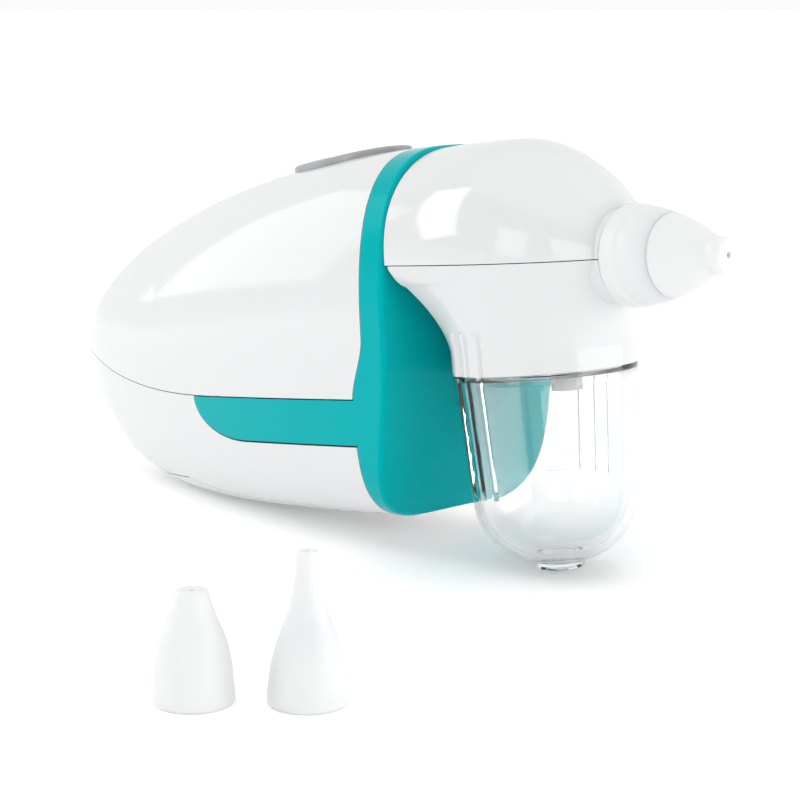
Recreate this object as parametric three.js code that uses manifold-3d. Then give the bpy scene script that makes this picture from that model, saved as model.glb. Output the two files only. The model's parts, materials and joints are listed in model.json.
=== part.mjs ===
// Electric nasal aspirator with a clear collection cup and two spare tips.
// Millimetres. The device is drawn in its own frame: the cup's axis is Z, the cup's rim is z = 0,
// the nozzle points along +X and the tail along -X. The last lines tilt it nose-up on to its cup
// foot and its underside, as it stands on a table, and put the origin at the bottom centre.
import * as THREE from "three";
import { mergeVertices } from "three/addons/utils/BufferGeometryUtils.js";
import Module from "manifold-3d";

const wasm = await Module();
wasm.setup();

// ---------------------------------------------------------------- driving dimensions
const GAP = 0.3;                     // clearance wherever two pieces meet
const WALL = 2;                      // casing wall
const THIN_WALL = 1.7;               // head shell wall

const BODY = {
  halfWidth: 21.5,                   // at the parting line, at the band
  top: 40.1,
  bottom: -25.8,
  parting: -3.1,                     // height of the parting line at the band
  partingRise: 10.9,                 // how far it climbs at the tail
  tailX: -134.5,
  tailZ: 5.25,                       // height of the tail's tip
  flatCut: 0.35,                     // how much the underside is planed flat
};
// The band's front face leans back towards the bottom, and its rear edge steps back at the parting.
const BAND = { rearX: -23, frontX: -17.6, plate: 2, step: 3.6, lean: 0.0105, leanFrom: 9 };
const WING = { tipX: -76.5, straightX: -60, low: -11.3 };

const CUP = {
  radius: 16.1, depth: 34.8, wall: 1.4, taper: 0.0805, sphereStart: -19.5, fullness: 0.84,
  footRadius: 4.2, footHeight: 0.8, neckRadius: 13.2, neckHeight: 5, shoulder: 1.1,
};
// The head's parting plane and the nozzle's axis droop a little towards the front.
const HEAD = {
  parting: 19.4, droop: 2, frontX: 24, halfWidth: 19.7, top: 39.75, rearX: BAND.frontX + GAP,
  crownAt: 0.366,                    // where its top is highest, as a share of its length
  rearDip: 0.03,                     // how much of its height it loses behind that place
};
const NOZZLE = {
  seatX: 21.3, collarRadius: 8.5, collarBore: 6.9, creaseX: 30.6, tipRadius: 6.6, tipEndX: 42,
  endRadius: 3.1, socketRadius: 3.9, tubeRadius: 3.6, bore: 1.9,
};
const BUTTON = { midX: -45.4, halfLength: 14.2, halfWidth: 6.2, proud: 1.1, pivotZ: 35, padX: 9.5 };
const PIN = { radius: 1, reach: 10.1 };  // the rocker's pin, along Y
const DOOR = { frontX: -37, halfWidth: 14.8, top: -20 };
const CELL = { radius: 7, length: 49, y: 7.45, z: -13.4, frontX: -37.5, nub: 1.4 };
const MOTOR = { z: 17, radius: 11.8, rearX: -82, frontX: -53 };
const PUMP = { radius: 12.6, rearX: -52.6, frontX: -33 };
const SPARE = {                      // standing places, measured from the device's origin point
  radius: 5.9,
  short: { x: 17.4, y: -90.4, height: 16.5 },
  long: { x: 28.7, y: -78.7, height: 22.2 },
};

// ---------------------------------------------------------------- solids and cuts
function solidOf(geometry) {
  const bare = geometry.clone();
  bare.deleteAttribute("normal");
  bare.deleteAttribute("uv");
  const merged = mergeVertices(bare, 1e-4);
  return new wasm.Manifold(new wasm.Mesh({
    numProp: 3,
    vertProperties: new Float32Array(merged.attributes.position.array),
    triVerts: new Uint32Array(merged.index.array),
  }));
}

function geometryOf(solid) {
  const mesh = solid.getMesh();
  const geometry = new THREE.BufferGeometry();
  geometry.setAttribute("position", new THREE.BufferAttribute(new Float32Array(mesh.vertProperties), 3));
  geometry.setIndex(new THREE.BufferAttribute(new Uint32Array(mesh.triVerts), 1));
  geometry.computeVertexNormals();
  return geometry;
}

function box(x0, x1, y0, y1, z0, z1) {
  const geometry = new THREE.BoxGeometry(x1 - x0, y1 - y0, z1 - z0);
  geometry.translate((x0 + x1) / 2, (y0 + y1) / 2, (z0 + z1) / 2);
  return solidOf(geometry);
}

// A solid of revolution about Z from [radius, z] pairs that start and end on the axis.
function turnedZ(profile, segments = 20) {
  const points = profile.map(([r, z]) => new THREE.Vector2(r, z));
  const geometry = new THREE.LatheGeometry(points, segments);
  geometry.rotateX(Math.PI / 2);
  return solidOf(geometry);
}

// The same about an axis along X: [radius, x] pairs, with x rising.
function turnedX(profile, y, z, segments = 20) {
  return turnedZ(profile, segments).rotate([0, 90, 0]).translate([0, y, z]);
}

// A disc or tube between two X positions.
function discX(r, x0, x1, y, z, segments = 20) {
  return turnedX([[0, x0], [r, x0], [r, x1], [0, x1]], y, z, segments);
}

function discZ(r, x, y, z0, z1, segments = 24) {
  return turnedZ([[0, z0], [r, z0], [r, z1], [0, z1]], segments).translate([x, y, 0]);
}

function discY(r, x, z, y0, y1, segments = 16) {
  return turnedZ([[0, y0], [r, y0], [r, y1], [0, y1]], segments).rotate([-90, 0, 0]).translate([x, 0, z]);
}

// A side outline of [x, z] points, pushed through from y0 to y1.
function sidePlate(points, y0, y1) {
  const shape = new THREE.Shape(points.map(([x, z]) => new THREE.Vector2(x, z)));
  const geometry = new THREE.ExtrudeGeometry(shape, { depth: y1 - y0, bevelEnabled: false });
  geometry.rotateX(Math.PI / 2);
  geometry.translate(0, y1, 0);
  return solidOf(geometry);
}

// A plan outline of [x, y] points, pushed up from z0 to z1.
function planPlate(points, z0, z1) {
  const shape = new THREE.Shape(points.map(([x, y]) => new THREE.Vector2(x, y)));
  const geometry = new THREE.ExtrudeGeometry(shape, { depth: z1 - z0, bevelEnabled: false });
  geometry.translate(0, 0, z0);
  return solidOf(geometry);
}

// A round bar bent along points, with 10 sides.
function bentBar(points, r, steps, sides = 10) {
  const outline = new THREE.Shape();
  outline.absarc(0, 0, r, 0, 2 * Math.PI, false);
  const path = new THREE.CatmullRomCurve3(points.map((p) => new THREE.Vector3(...p)));
  return solidOf(new THREE.ExtrudeGeometry(outline, { extrudePath: path, steps, curveSegments: sides }));
}

// A closed skin over rings of equal point count, with both ends filled.
function skinOver(rings) {
  const count = rings[0].length;
  const positions = rings.flat(2);
  const index = [];
  for (let i = 0; i + 1 < rings.length; i += 1) {
    for (let j = 0; j < count; j += 1) {
      const a = i * count + j;
      const b = i * count + ((j + 1) % count);
      index.push(a, b, b + count, a, b + count, a + count);
    }
  }
  for (const [ring, flip] of [[0, true], [rings.length - 1, false]]) {
    const centre = positions.length / 3;
    const sum = rings[ring].reduce((s, p) => [s[0] + p[0], s[1] + p[1], s[2] + p[2]], [0, 0, 0]);
    positions.push(sum[0] / count, sum[1] / count, sum[2] / count);
    for (let j = 0; j < count; j += 1) {
      const a = ring * count + j;
      const b = ring * count + ((j + 1) % count);
      index.push(...(flip ? [centre, b, a] : [centre, a, b]));
    }
  }
  const geometry = new THREE.BufferGeometry();
  geometry.setAttribute("position", new THREE.BufferAttribute(new Float32Array(positions), 3));
  geometry.setIndex(index);
  let solid = solidOf(geometry);
  if (solid.volume() < 0) {
    geometry.setIndex(index.map((_, k) => index[k - (k % 3) + 2 - (k % 3)]));
    solid = solidOf(geometry);
  }
  return solid;
}

// ---------------------------------------------------------------- the body's outer form
const fade = (u, a, b) => Math.pow(Math.max(0, 1 - Math.pow(u, a)), 1 / b);
const mix = (a, b, t) => a + (b - a) * t;
const clamp01 = (t) => Math.min(1, Math.max(0, t));

// Distance to a superellipse's edge in direction phi, for half-sizes w and h.
function reach(phi, w, h, n) {
  const c = Math.abs(Math.cos(phi)) / w;
  const s = Math.abs(Math.sin(phi)) / h;
  return Math.pow(Math.pow(c, n) + Math.pow(s, n), -1 / n);
}

// How far along the body x lies: 0 at the band, 1 at the tail.
const along = (x, inset = 0) => clamp01((BAND.rearX - x) / (BAND.rearX - BODY.tailX - inset));

// The parting line is level at first, then climbs to the tail.
const partingLevel = (u) => BODY.parting + BODY.partingRise * Math.pow(clamp01((u - 0.42) / 0.58), 2.3);

function bodySizes(x, inset = 0) {
  const u = along(x, inset);
  const w = (BODY.halfWidth - inset) * fade(u, 2, 1.88);
  const top = BODY.tailZ + (BODY.top - inset - BODY.tailZ) * fade(u, 2.05, 1.8);
  const bottom = BODY.tailZ + (BODY.bottom + inset - BODY.tailZ) * fade(u, 5.1, 1.23);
  const parting = Math.min(Math.max(partingLevel(u), mix(bottom, top, 0.02)), mix(bottom, top, 0.98));
  const square = clamp01(u * 1.6);
  return { w, top, bottom, parting, upper: mix(3.0, 2.15, square), lower: mix(4.0, 3.5, square) };
}

function bodyRing(x, inset, count) {
  const s = bodySizes(x, inset);
  const ring = [];
  for (let j = 0; j < count; j += 1) {
    const phi = (2 * Math.PI * j) / count;
    const up = Math.sin(phi) >= 0;
    const h = up ? s.top - s.parting : s.parting - s.bottom;
    const r = reach(phi, s.w, h, up ? s.upper : s.lower);
    ring.push([x, r * Math.cos(phi), s.parting + r * Math.sin(phi)]);
  }
  return ring;
}

// The body from frontX back to the tail, inset by a wall.
function bodyForm(frontX, inset, stations = 11, count = 32) {
  const endX = BODY.tailX + inset;
  const rings = [];
  for (let i = 0; i < stations; i += 1) {
    const t = 1 - Math.pow(1 - i / stations, 1.7);
    rings.push(bodyRing(mix(frontX, endX, t), inset, count));
  }
  const planed = BODY.bottom + BODY.flatCut + inset;
  return skinOver(rings).subtract(box(-200, 60, -40, 40, planed - 20, planed));
}

// Everything above (side = 1) or below (side = -1) the parting line.
function partingHalf(side) {
  const points = [[0, BODY.parting + side * GAP / 2]];
  for (let i = 0; i <= 12; i += 1) {
    const x = mix(-68, BODY.tailX - 5, i / 12);
    points.push([x, partingLevel(along(x)) + side * GAP / 2]);
  }
  points.push([BODY.tailX - 5, side * 60], [0, side * 60]);
  return sidePlate(side > 0 ? points.reverse() : points, -40, 40);
}

// The side wing of the band: a strip under the parting line with a quarter-ellipse end.
function wingRegion(frontX, grow) {
  const points = [[frontX, BODY.parting - GAP / 2 + grow]];
  points.push([frontX, WING.low - grow], [WING.straightX, WING.low - grow]);
  for (let i = 1; i <= 8; i += 1) {
    const a = (Math.PI / 2) * (i / 8);
    const x = WING.straightX + (WING.tipX - grow - WING.straightX) * Math.sin(a);
    points.push([x, BODY.parting - GAP / 2 + grow + (WING.low - BODY.parting - 2 * grow) * Math.cos(a)]);
  }
  return sidePlate(points, -40, 40);
}

// The band's front face and rear edge, in side view.
const bandFrontX = (z) => BAND.frontX - BAND.lean * Math.pow(Math.max(0, BAND.leanFrom - z), 1.85);
function bandRearX(z) {
  const t = clamp01((8 - z) / 12);
  return BAND.rearX - BAND.step * t * t * (3 - 2 * t);
}

// Everything behind a side-view curve x(z), shifted back by a distance.
function behind(curve, shift) {
  const points = [[-200, -40], [-200, 60], [curve(60) - shift, 60]];
  for (let z = 12; z >= -28; z -= 2.5) points.push([curve(z) - shift, z]);
  points.push([curve(-40) - shift, -40]);
  return sidePlate(points, -60, 60);
}

const bodyOuter = bodyForm(BAND.frontX + 1, 0);
const bodyInner = bodyForm(BAND.frontX + 2, WALL);
const bodyShell = bodyOuter.subtract(bodyInner);
const casingShell = bodyShell.intersect(behind(bandRearX, GAP));
const flatZ = BODY.bottom + BODY.flatCut;

// ---------------------------------------------------------------- casing, frame and door
function buttonOutline(grow) {
  const points = [];
  for (let i = 0; i < 28; i += 1) {
    const a = (2 * Math.PI * i) / 28;
    const r = reach(a, BUTTON.halfLength + grow, BUTTON.halfWidth + grow, 2.6);
    points.push([BUTTON.midX + r * Math.cos(a), r * Math.sin(a)]);
  }
  return points;
}

const SCREW = { x: -30.3, y: 12, seatZ: -12, bossRadius: 3, holeRadius: 1.4 };
const casingInside = bodyForm(BAND.frontX + 1, WALL / 2).intersect(behind(bandRearX, GAP));

function upperCasing() {
  let solid = casingShell.intersect(partingHalf(1));
  const inside = casingInside.intersect(partingHalf(1));
  for (const side of [-1, 1]) {                       // ears that hold the rocker's pin
    const y = side * 9.4;
    const ear = box(BUTTON.midX - 3, BUTTON.midX + 3, y - 1, y + 1, BUTTON.pivotZ - 2.5, BODY.top);
    solid = solid.add(ear.intersect(inside));
  }
  const pinRoom = PIN.reach + GAP;
  solid = solid.subtract(discY(PIN.radius + GAP, BUTTON.midX, BUTTON.pivotZ, -pinRoom, pinRoom));
  const web = box(SCREW.x - 1.5, SCREW.x + 1.5, -30, 30, BODY.parting, 1.6);
  solid = solid.add(web.intersect(inside));           // a web across, with the two screw bosses
  for (const side of [-1, 1]) {
    const y = side * SCREW.y;
    solid = solid.add(discZ(SCREW.bossRadius, SCREW.x, y, BODY.parting, 6, 16).intersect(inside));
    solid = solid.subtract(discZ(SCREW.holeRadius, SCREW.x, y, BODY.parting - 1, 5, 12));
  }
  return solid.subtract(planPlate(buttonOutline(0.45), 30, 60));
}

function lowerCasing() {
  let solid = casingShell.intersect(partingHalf(-1));
  const inside = casingInside.intersect(partingHalf(-1));
  for (const side of [-1, 1]) {
    const y = side * SCREW.y;
    solid = solid.add(discZ(SCREW.bossRadius + 0.8, SCREW.x, y, -30, SCREW.seatZ + 2, 16).intersect(inside));
    solid = solid.add(discZ(SCREW.bossRadius, SCREW.x, y, -30, BODY.parting, 16).intersect(inside));
    solid = solid.subtract(discZ(SCREW.holeRadius, SCREW.x, y, -24, 0, 12));
    solid = solid.subtract(discZ(2.6, SCREW.x, y, -30, SCREW.seatZ, 16));
  }
  solid = solid.subtract(wingRegion(0, GAP));
  return solid.subtract(box(-200, DOOR.frontX, -DOOR.halfWidth, DOOR.halfWidth, -60, DOOR.top));
}

function batteryDoor() {
  const room = box(-200, DOOR.frontX - GAP, -DOOR.halfWidth + GAP, DOOR.halfWidth - GAP, -60, DOOR.top - GAP);
  let solid = casingShell.intersect(room);
  for (const x of [-44, -46.5, -49]) {                // thumb grip: three shallow grooves
    solid = solid.subtract(box(x - 0.5, x + 0.5, -5, 5, flatZ - 1, flatZ + 0.6));
  }
  return solid;
}

function frontFrame() {
  let solid = bodyOuter.intersect(behind(bandFrontX, 0)).subtract(behind(bandRearX, 0));
  solid = solid.subtract(bodyInner.intersect(behind(bandFrontX, BAND.plate)));
  const skin = bodyShell.intersect(behind(bandRearX, -0.2));
  solid = solid.add(skin.intersect(wingRegion(BAND.rearX, 0)));
  return solid.subtract(discX(3.8, -30, 0, 0, MOTOR.z));
}

// ---------------------------------------------------------------- head shells
function headHalfWidth(x) {
  const v = clamp01((x - HEAD.rearX) / (HEAD.frontX - HEAD.rearX));
  return HEAD.halfWidth * fade(v, 2.3, 1.9);
}

function headRing(x, inset, count, floorZ) {
  const v = clamp01((x - HEAD.rearX) / (HEAD.frontX - inset - HEAD.rearX));
  const w = Math.max(0.05, (HEAD.halfWidth - inset) * fade(v, 2.3, 1.9));
  const fore = clamp01((v - HEAD.crownAt) / (1 - HEAD.crownAt));
  const aft = clamp01(1 - v / HEAD.crownAt);
  const arch = fade(fore, 1.91, 1.38) * (1 - HEAD.rearDip * aft * aft);
  const h = Math.max(0.05, (HEAD.top - inset - HEAD.parting) * arch);
  const n = mix(2.18, 1.9, v);
  const ring = [];
  for (let j = 0; j <= count; j += 1) {
    const phi = (Math.PI * j) / count;
    const r = reach(phi, w, h, n);
    ring.push([x, r * Math.cos(phi), HEAD.parting + r * Math.sin(phi)]);
  }
  ring.push([x, -w, floorZ], [x, w, floorZ]);
  return ring;
}

function headForm(rearX, inset, floorZ) {
  const rings = [];
  for (let i = 0; i < 10; i += 1) {
    const t = 1 - Math.pow(1 - i / 10, 1.8);
    rings.push(headRing(mix(rearX, HEAD.frontX - inset, t), inset, 14, floorZ));
  }
  return droop(skinOver(rings));
}

// Tilts a piece drawn level at the head's parting height down to the drooping parting plane.
function droop(solid) {
  return solid.translate([0, 0, -HEAD.parting]).rotate([0, HEAD.droop, 0]).translate([0, 0, HEAD.parting]);
}

const fittedToFrame = box(HEAD.rearX, 80, -60, 60, -60, 80);

// The room the nozzle's collar, flange and tube take up in the head's front.
function nozzleRoom() {
  const room = discX(NOZZLE.collarRadius + 0.4, NOZZLE.seatX, 60, 0, HEAD.parting, 24)
    .add(discX(6, 17.9, 20.1, 0, HEAD.parting, 16))
    .add(discX(NOZZLE.tubeRadius + GAP, 10, 60, 0, HEAD.parting, 16));
  return droop(room);
}

const nozzleSeat = () => droop(discX(10, 17, NOZZLE.seatX + 1, 0, HEAD.parting, 20));
const nozzleBoss = () => droop(discX(NOZZLE.collarRadius - 0.1, 17, NOZZLE.seatX, 0, HEAD.parting, 28));

function headUpperShell() {
  const outer = headForm(HEAD.rearX - 2, 0, HEAD.parting - 3);
  const inner = headForm(HEAD.rearX - 4, THIN_WALL, HEAD.parting - 5);
  const above = droop(box(-60, 60, -40, 40, HEAD.parting + GAP / 2, 80));
  const solid = outer.subtract(inner).add(nozzleSeat().intersect(outer)).add(nozzleBoss());
  return solid.intersect(above).intersect(fittedToFrame).subtract(nozzleRoom());
}

// Distance from the cup's axis to the head's plan outline in direction a.
function planReach(a, inset) {
  const rear = HEAD.rearX + inset;
  let low = 0;
  let high = 40;
  for (let i = 0; i < 40; i += 1) {
    const r = (low + high) / 2;
    const x = r * Math.cos(a);
    const beyondEnds = x < rear || x > HEAD.frontX - inset;
    const outside = beyondEnds || Math.abs(r * Math.sin(a)) > headHalfWidth(x) - inset;
    if (outside) high = r;
    else low = r;
  }
  return low;
}

function funnelForm(inset, z0, z1, levels = 7, count = 32) {
  const rings = [];
  for (let i = 0; i <= levels; i += 1) {
    const z = mix(z0, z1, i / levels);
    const t = clamp01((z - 3.5) / (HEAD.parting - 3.5));
    const spread = t < 0.8 ? 0.72 * Math.pow(t / 0.8, 1.7) : mix(0.72, 1, Math.pow((t - 0.8) / 0.2, 0.6));
    const ring = [];
    for (let j = 0; j < count; j += 1) {
      const a = (2 * Math.PI * j) / count;
      const r = mix(CUP.radius - inset, planReach(a, inset), spread);
      ring.push([Math.max(r * Math.cos(a), HEAD.rearX + inset), r * Math.sin(a), z]);
    }
    rings.push(ring);
  }
  return skinOver(rings);
}

// Three grip ribs on each side of the cup, a little behind its middle.
const GRIP = { x: -3.3, pitch: 3.2, half: 0.55 };

function gripRibs(z0, z1, r0, r1, proud) {
  const ribs = [];
  for (const side of [-1, 1]) {
    for (const step of [-1, 0, 1]) {
      const x = GRIP.x + step * GRIP.pitch;
      const bottom = Math.sqrt(r0 * r0 - x * x);
      const top = Math.sqrt(r1 * r1 - x * x);
      const corners = [
        [bottom - 0.5, z0], [bottom + proud * 0.3, z0], [mix(bottom, top, 0.12) + proud, mix(z0, z1, 0.12)],
        [mix(bottom, top, 0.88) + proud, mix(z0, z1, 0.88)], [top + proud * 0.3, z1], [top - 0.5, z1],
      ];
      const plate = sidePlate(corners, -GRIP.half, GRIP.half).rotate([0, 0, 90]).translate([side * x, 0, 0]);
      ribs.push(side > 0 ? plate : plate.rotate([0, 0, 180]));
    }
  }
  return ribs;
}

function headLowerShell() {
  const below = droop(box(-60, 60, -40, 40, -80, HEAD.parting - GAP / 2));
  let solid = funnelForm(0, GAP, HEAD.parting + 2);
  solid = solid.intersect(box(-60, 60, -40, 40, GAP, 60));
  solid = solid.subtract(funnelForm(THIN_WALL, -1, HEAD.parting + 3));
  solid = solid.add(nozzleSeat().intersect(funnelForm(0, 2, HEAD.parting + 2))).add(nozzleBoss());
  const ledgeZ = CUP.neckHeight + 2 * GAP;              // the stop above the cup's neck
  const withinWall = funnelForm(THIN_WALL / 2, -1, HEAD.parting + 3);
  const ledge = discZ(20, 0, 0, ledgeZ, ledgeZ + 1.4, 32).intersect(withinWall);
  solid = solid.add(ledge.subtract(discZ(CUP.neckRadius - CUP.wall, 0, 0, -20, 20, 32)));
  solid = solid.intersect(below).subtract(nozzleRoom());
  return solid.subtract(discX(3.8, -30, -10, 0, MOTOR.z));
}

// ---------------------------------------------------------------- cup and its fittings
function cupProfile(inset) {
  const points = [[0, -CUP.depth + CUP.footHeight + inset]];
  const radiusAt = (z) => CUP.radius + CUP.taper * z - inset;
  const start = CUP.sphereStart;
  const depth = -CUP.depth + CUP.footHeight + inset;
  for (let i = 1; i <= 7; i += 1) {
    const a = (Math.PI / 2) * (i / 7);
    const out = Math.pow(Math.sin(a), CUP.fullness);
    const down = Math.pow(Math.max(0, Math.cos(a)), CUP.fullness);
    points.push([radiusAt(start) * out, start + (depth - start) * down]);
  }
  points.push([radiusAt(0), 0], [0, 0]);
  return points;
}

function collectionCup() {
  let solid = turnedZ(cupProfile(0), 32);
  solid = solid.add(discZ(CUP.footRadius, 0, 0, -CUP.depth, -CUP.depth + 3, 24));
  for (const rib of gripRibs(-20, -0.6, CUP.radius + CUP.taper * -20, CUP.radius - 0.05, 0.45)) {
    solid = solid.add(rib);
  }
  solid = solid.add(discZ(CUP.neckRadius, 0, 0, -0.5, CUP.neckHeight, 32));
  const inside = turnedZ(cupProfile(CUP.wall), 32).intersect(box(-30, 30, -30, 30, -60, -CUP.shoulder));
  solid = solid.subtract(inside).subtract(discZ(CUP.neckRadius - CUP.wall, 0, 0, -CUP.shoulder - 1, 10, 32));
  return solid.subtract(discZ(CUP.footRadius - 1.3, 0, 0, -CUP.depth - 1, -CUP.depth + 0.4, 24));
}

function ringZ(inner, outer, z0, z1, segments = 36) {
  return discZ(outer, 0, 0, z0, z1, segments).subtract(discZ(inner, 0, 0, z0 - 1, z1 + 1, segments));
}

const cupSeal = () => ringZ(CUP.neckRadius + 0.2, CUP.neckRadius + 0.95, 1.2, 3);

const DRIP_X = 4.8;

function separatorPlate() {
  const plate = discZ(CUP.neckRadius - CUP.wall - GAP, 0, 0, 3.4, 4.7, 30);
  return plate.subtract(discZ(2.7 + GAP, DRIP_X, 0, -5, 5, 16)).subtract(discZ(2.2, -6.5, 0, -5, 5, 16));
}

// An elbow from the nozzle's tube down into the cup.
function dripTube() {
  const topZ = HEAD.parting - 0.35;
  const points = [
    [DRIP_X, 0, -3.6], [DRIP_X, 0, 4], [DRIP_X, 0, 10], [DRIP_X + 1.2, 0, 15.6],
    [10.2, 0, topZ], [11.8, 0, topZ],
  ];
  const bore = bentBar(points, NOZZLE.bore, 12, 5)
    .add(discZ(NOZZLE.bore, DRIP_X, 0, -5, -3, 10)).add(discX(NOZZLE.bore, 11.6, 13, 0, topZ, 10));
  return bentBar(points, 2.7, 12, 5).subtract(bore);
}

function nozzleConnector() {
  const outer = turnedX([
    [0, 12.6], [NOZZLE.tubeRadius, 12.6], [NOZZLE.tubeRadius, 18.3], [5.6, 18.3], [5.6, 19.7],
    [NOZZLE.tubeRadius, 19.7], [NOZZLE.tubeRadius, 32.4], [NOZZLE.tubeRadius - 0.6, 33], [0, 33],
  ], 0, 0, 20);
  return outer.subtract(discX(NOZZLE.bore, 0, 60, 0, 0, 12));
}

function nozzleCollar() {
  const r = NOZZLE.collarRadius;
  const x = NOZZLE.seatX + GAP;
  const outer = turnedX([
    [0, x], [r - 0.5, x], [r, x + 0.7], [r + 0.05, x + 4.2], [r - 0.25, x + 4.7], [r - 0.35, x + 6.4],
    [r - 0.9, NOZZLE.creaseX - 0.7], [r - 1.5, NOZZLE.creaseX], [0, NOZZLE.creaseX],
  ], 0, 0, 28);
  const tipRoom = discX(NOZZLE.collarBore, NOZZLE.seatX + 2, 60, 0, 0, 24);
  const tubeRoom = discX(NOZZLE.tubeRadius + GAP, 0, 60, 0, 0, 20);
  return outer.subtract(tipRoom).subtract(tubeRoom);
}

// ---------------------------------------------------------------- silicone tips
function nozzleTip() {
  const r = NOZZLE.tipRadius;
  const x = NOZZLE.creaseX;
  const end = NOZZLE.tipEndX;
  const bulb = NOZZLE.endRadius;
  const outer = turnedX([
    [0, NOZZLE.seatX + 2 + GAP], [r, NOZZLE.seatX + 2 + GAP], [r, x], [r - 0.4, x + 2], [r - 1.1, x + 4],
    [r - 2.1, x + 6], [r - 3, x + 7.6], [bulb + 0.05, x + 8.6], [bulb, x + 9.8], [bulb - 0.5, end - 0.7],
    [bulb - 1.4, end], [0, end],
  ], 0, 0, 24);
  const inner = turnedX([
    [0, 20], [NOZZLE.socketRadius, 20], [NOZZLE.socketRadius, 33.4], [2.6, 36], [1.1, 38.6],
    [1.1, 60], [0, 60],
  ], 0, 0, 14);
  return outer.subtract(inner);
}

// A standing tip: outer radius by height fraction, with a socket below and a bore up to the mouth.
function spareTip(height, outline) {
  const outer = outline.map(([radius, level]) => [radius * SPARE.radius, level * height]);
  const socket = NOZZLE.socketRadius;
  const inner = [
    [0, -1], [socket + 0.6, -1], [socket + 0.6, 0], [socket, 1], [socket, height * 0.45],
    [1.1, height * 0.72], [1.1, height + 1], [0, height + 1],
  ];
  return turnedZ([[0, 0], ...outer, [0, height]], 24).subtract(turnedZ(inner, 12));
}

const shortOutline = [
  [0.95, 0], [0.99, 0.03], [1, 0.1], [0.97, 0.25], [0.93, 0.37], [0.87, 0.49], [0.76, 0.61], [0.63, 0.72],
  [0.51, 0.84], [0.42, 0.95], [0.36, 1],
];
const longOutline = [
  [0.95, 0], [1, 0.04], [0.98, 0.12], [0.93, 0.22], [0.84, 0.33], [0.7, 0.45], [0.54, 0.56], [0.42, 0.66],
  [0.34, 0.76], [0.28, 0.88], [0.27, 0.98], [0.22, 1],
];

// ---------------------------------------------------------------- rocker button and switches
function powerButton() {
  const crown = bodyForm(BAND.rearX, -BUTTON.proud);
  const hollow = bodyForm(BAND.rearX, WALL - 0.2);
  const x = BUTTON.midX;
  let solid = crown.intersect(planPlate(buttonOutline(0), 34, 60));
  const dish = discY(30, x, BODY.top + BUTTON.proud + 28.9, -40, 40, 64);
  solid = solid.subtract(dish).subtract(hollow);
  solid = solid.add(box(x - 2.4, x + 2.4, -4, 4, BUTTON.pivotZ - 2, BUTTON.pivotZ + 3.8));
  for (const side of [-1, 1]) {
    const pad = x + side * BUTTON.padX;
    solid = solid.add(box(pad - 1.2, pad + 1.2, -1.2, 1.2, BUTTON.pivotZ + 1.6, BUTTON.pivotZ + 3.7));
  }
  return solid.subtract(discY(PIN.radius + GAP, x, BUTTON.pivotZ, -20, 20));
}

const buttonPin = () => discY(PIN.radius, BUTTON.midX, BUTTON.pivotZ, -PIN.reach, PIN.reach);

// The small board under the rocker, with a tact switch below each end.
const BOARD = { z: BUTTON.pivotZ - 4.4, thick: 1.4 };

function switchBoard() {
  return box(BUTTON.midX - 15, BUTTON.midX + 15, -8, 8, BOARD.z, BOARD.z + BOARD.thick);
}

function tactSwitch(side) {
  const x = BUTTON.midX + side * BUTTON.padX;
  const foot = BOARD.z + BOARD.thick + GAP;
  return box(x - 3, x + 3, -3, 3, foot, foot + 2.6).add(discZ(1.6, x, 0, foot + 2.4, foot + 3.6, 12));
}

// ---------------------------------------------------------------- power
function battery(side) {
  const rear = CELL.frontX - CELL.length;
  return turnedX([
    [0, rear], [CELL.radius - 0.4, rear], [CELL.radius, rear + 0.4], [CELL.radius, CELL.frontX - 0.4],
    [CELL.radius - 0.4, CELL.frontX], [2.7, CELL.frontX], [2.7, CELL.frontX + CELL.nub],
    [0, CELL.frontX + CELL.nub],
  ], side * CELL.y, CELL.z, 20);
}

function batteryTray() {
  const rear = CELL.frontX - CELL.length - 5;
  const front = CELL.frontX + 3;
  let solid = box(rear, front, -13.2, 13.2, CELL.z - 2, CELL.z + 8.6);
  solid = solid.subtract(box(rear + 1.2, rear + 3.4, -12.4, 12.4, -40, CELL.z + 4.4));
  for (const side of [-1, 1]) {
    const y = side * CELL.y;
    const cellRear = CELL.frontX - CELL.length;
    solid = solid.subtract(discX(CELL.radius + GAP, rear + 1.2, front - 0.7, y, CELL.z, 24));
    solid = solid.subtract(box(rear + 1.2, front - 0.7, y - 5.5, y + 5.5, -40, CELL.z));
    solid = solid.subtract(box(rear + 1.2, cellRear, side * 7 - 6.5, side * 7 + 6.5, -40, CELL.z + 7.2));
  }
  return solid;
}

function batterySpring(side) {
  const rear = CELL.frontX - CELL.length;
  const points = [];
  for (let i = 0; i <= 20; i += 1) {
    const a = (2 * Math.PI * i) / 8;
    const r = mix(4.4, 2.4, i / 20);
    const x = mix(rear - 2.8, rear - 0.6, i / 20);
    points.push([x, side * CELL.y + r * Math.cos(a), CELL.z + r * Math.sin(a)]);
  }
  return bentBar(points, 0.25, 26, 2);
}

function contactPlate(side, x, wide) {
  return box(x, x + 0.3, side * CELL.y - wide, side * CELL.y + wide, CELL.z - 4, CELL.z + 4);
}

// ---------------------------------------------------------------- motor and pump
function motorCan() {
  const r = MOTOR.radius;
  const outer = turnedX([
    [0, MOTOR.rearX + 2], [r, MOTOR.rearX + 2], [r, MOTOR.frontX - 1], [r - 1, MOTOR.frontX],
    [0, MOTOR.frontX],
  ], 0, MOTOR.z, 24);
  const cavity = discX(r - 1, MOTOR.rearX, MOTOR.frontX - 1.2, 0, MOTOR.z, 24);
  return outer.subtract(cavity).subtract(discX(3, MOTOR.rearX, 0, 0, MOTOR.z, 16));
}

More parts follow.
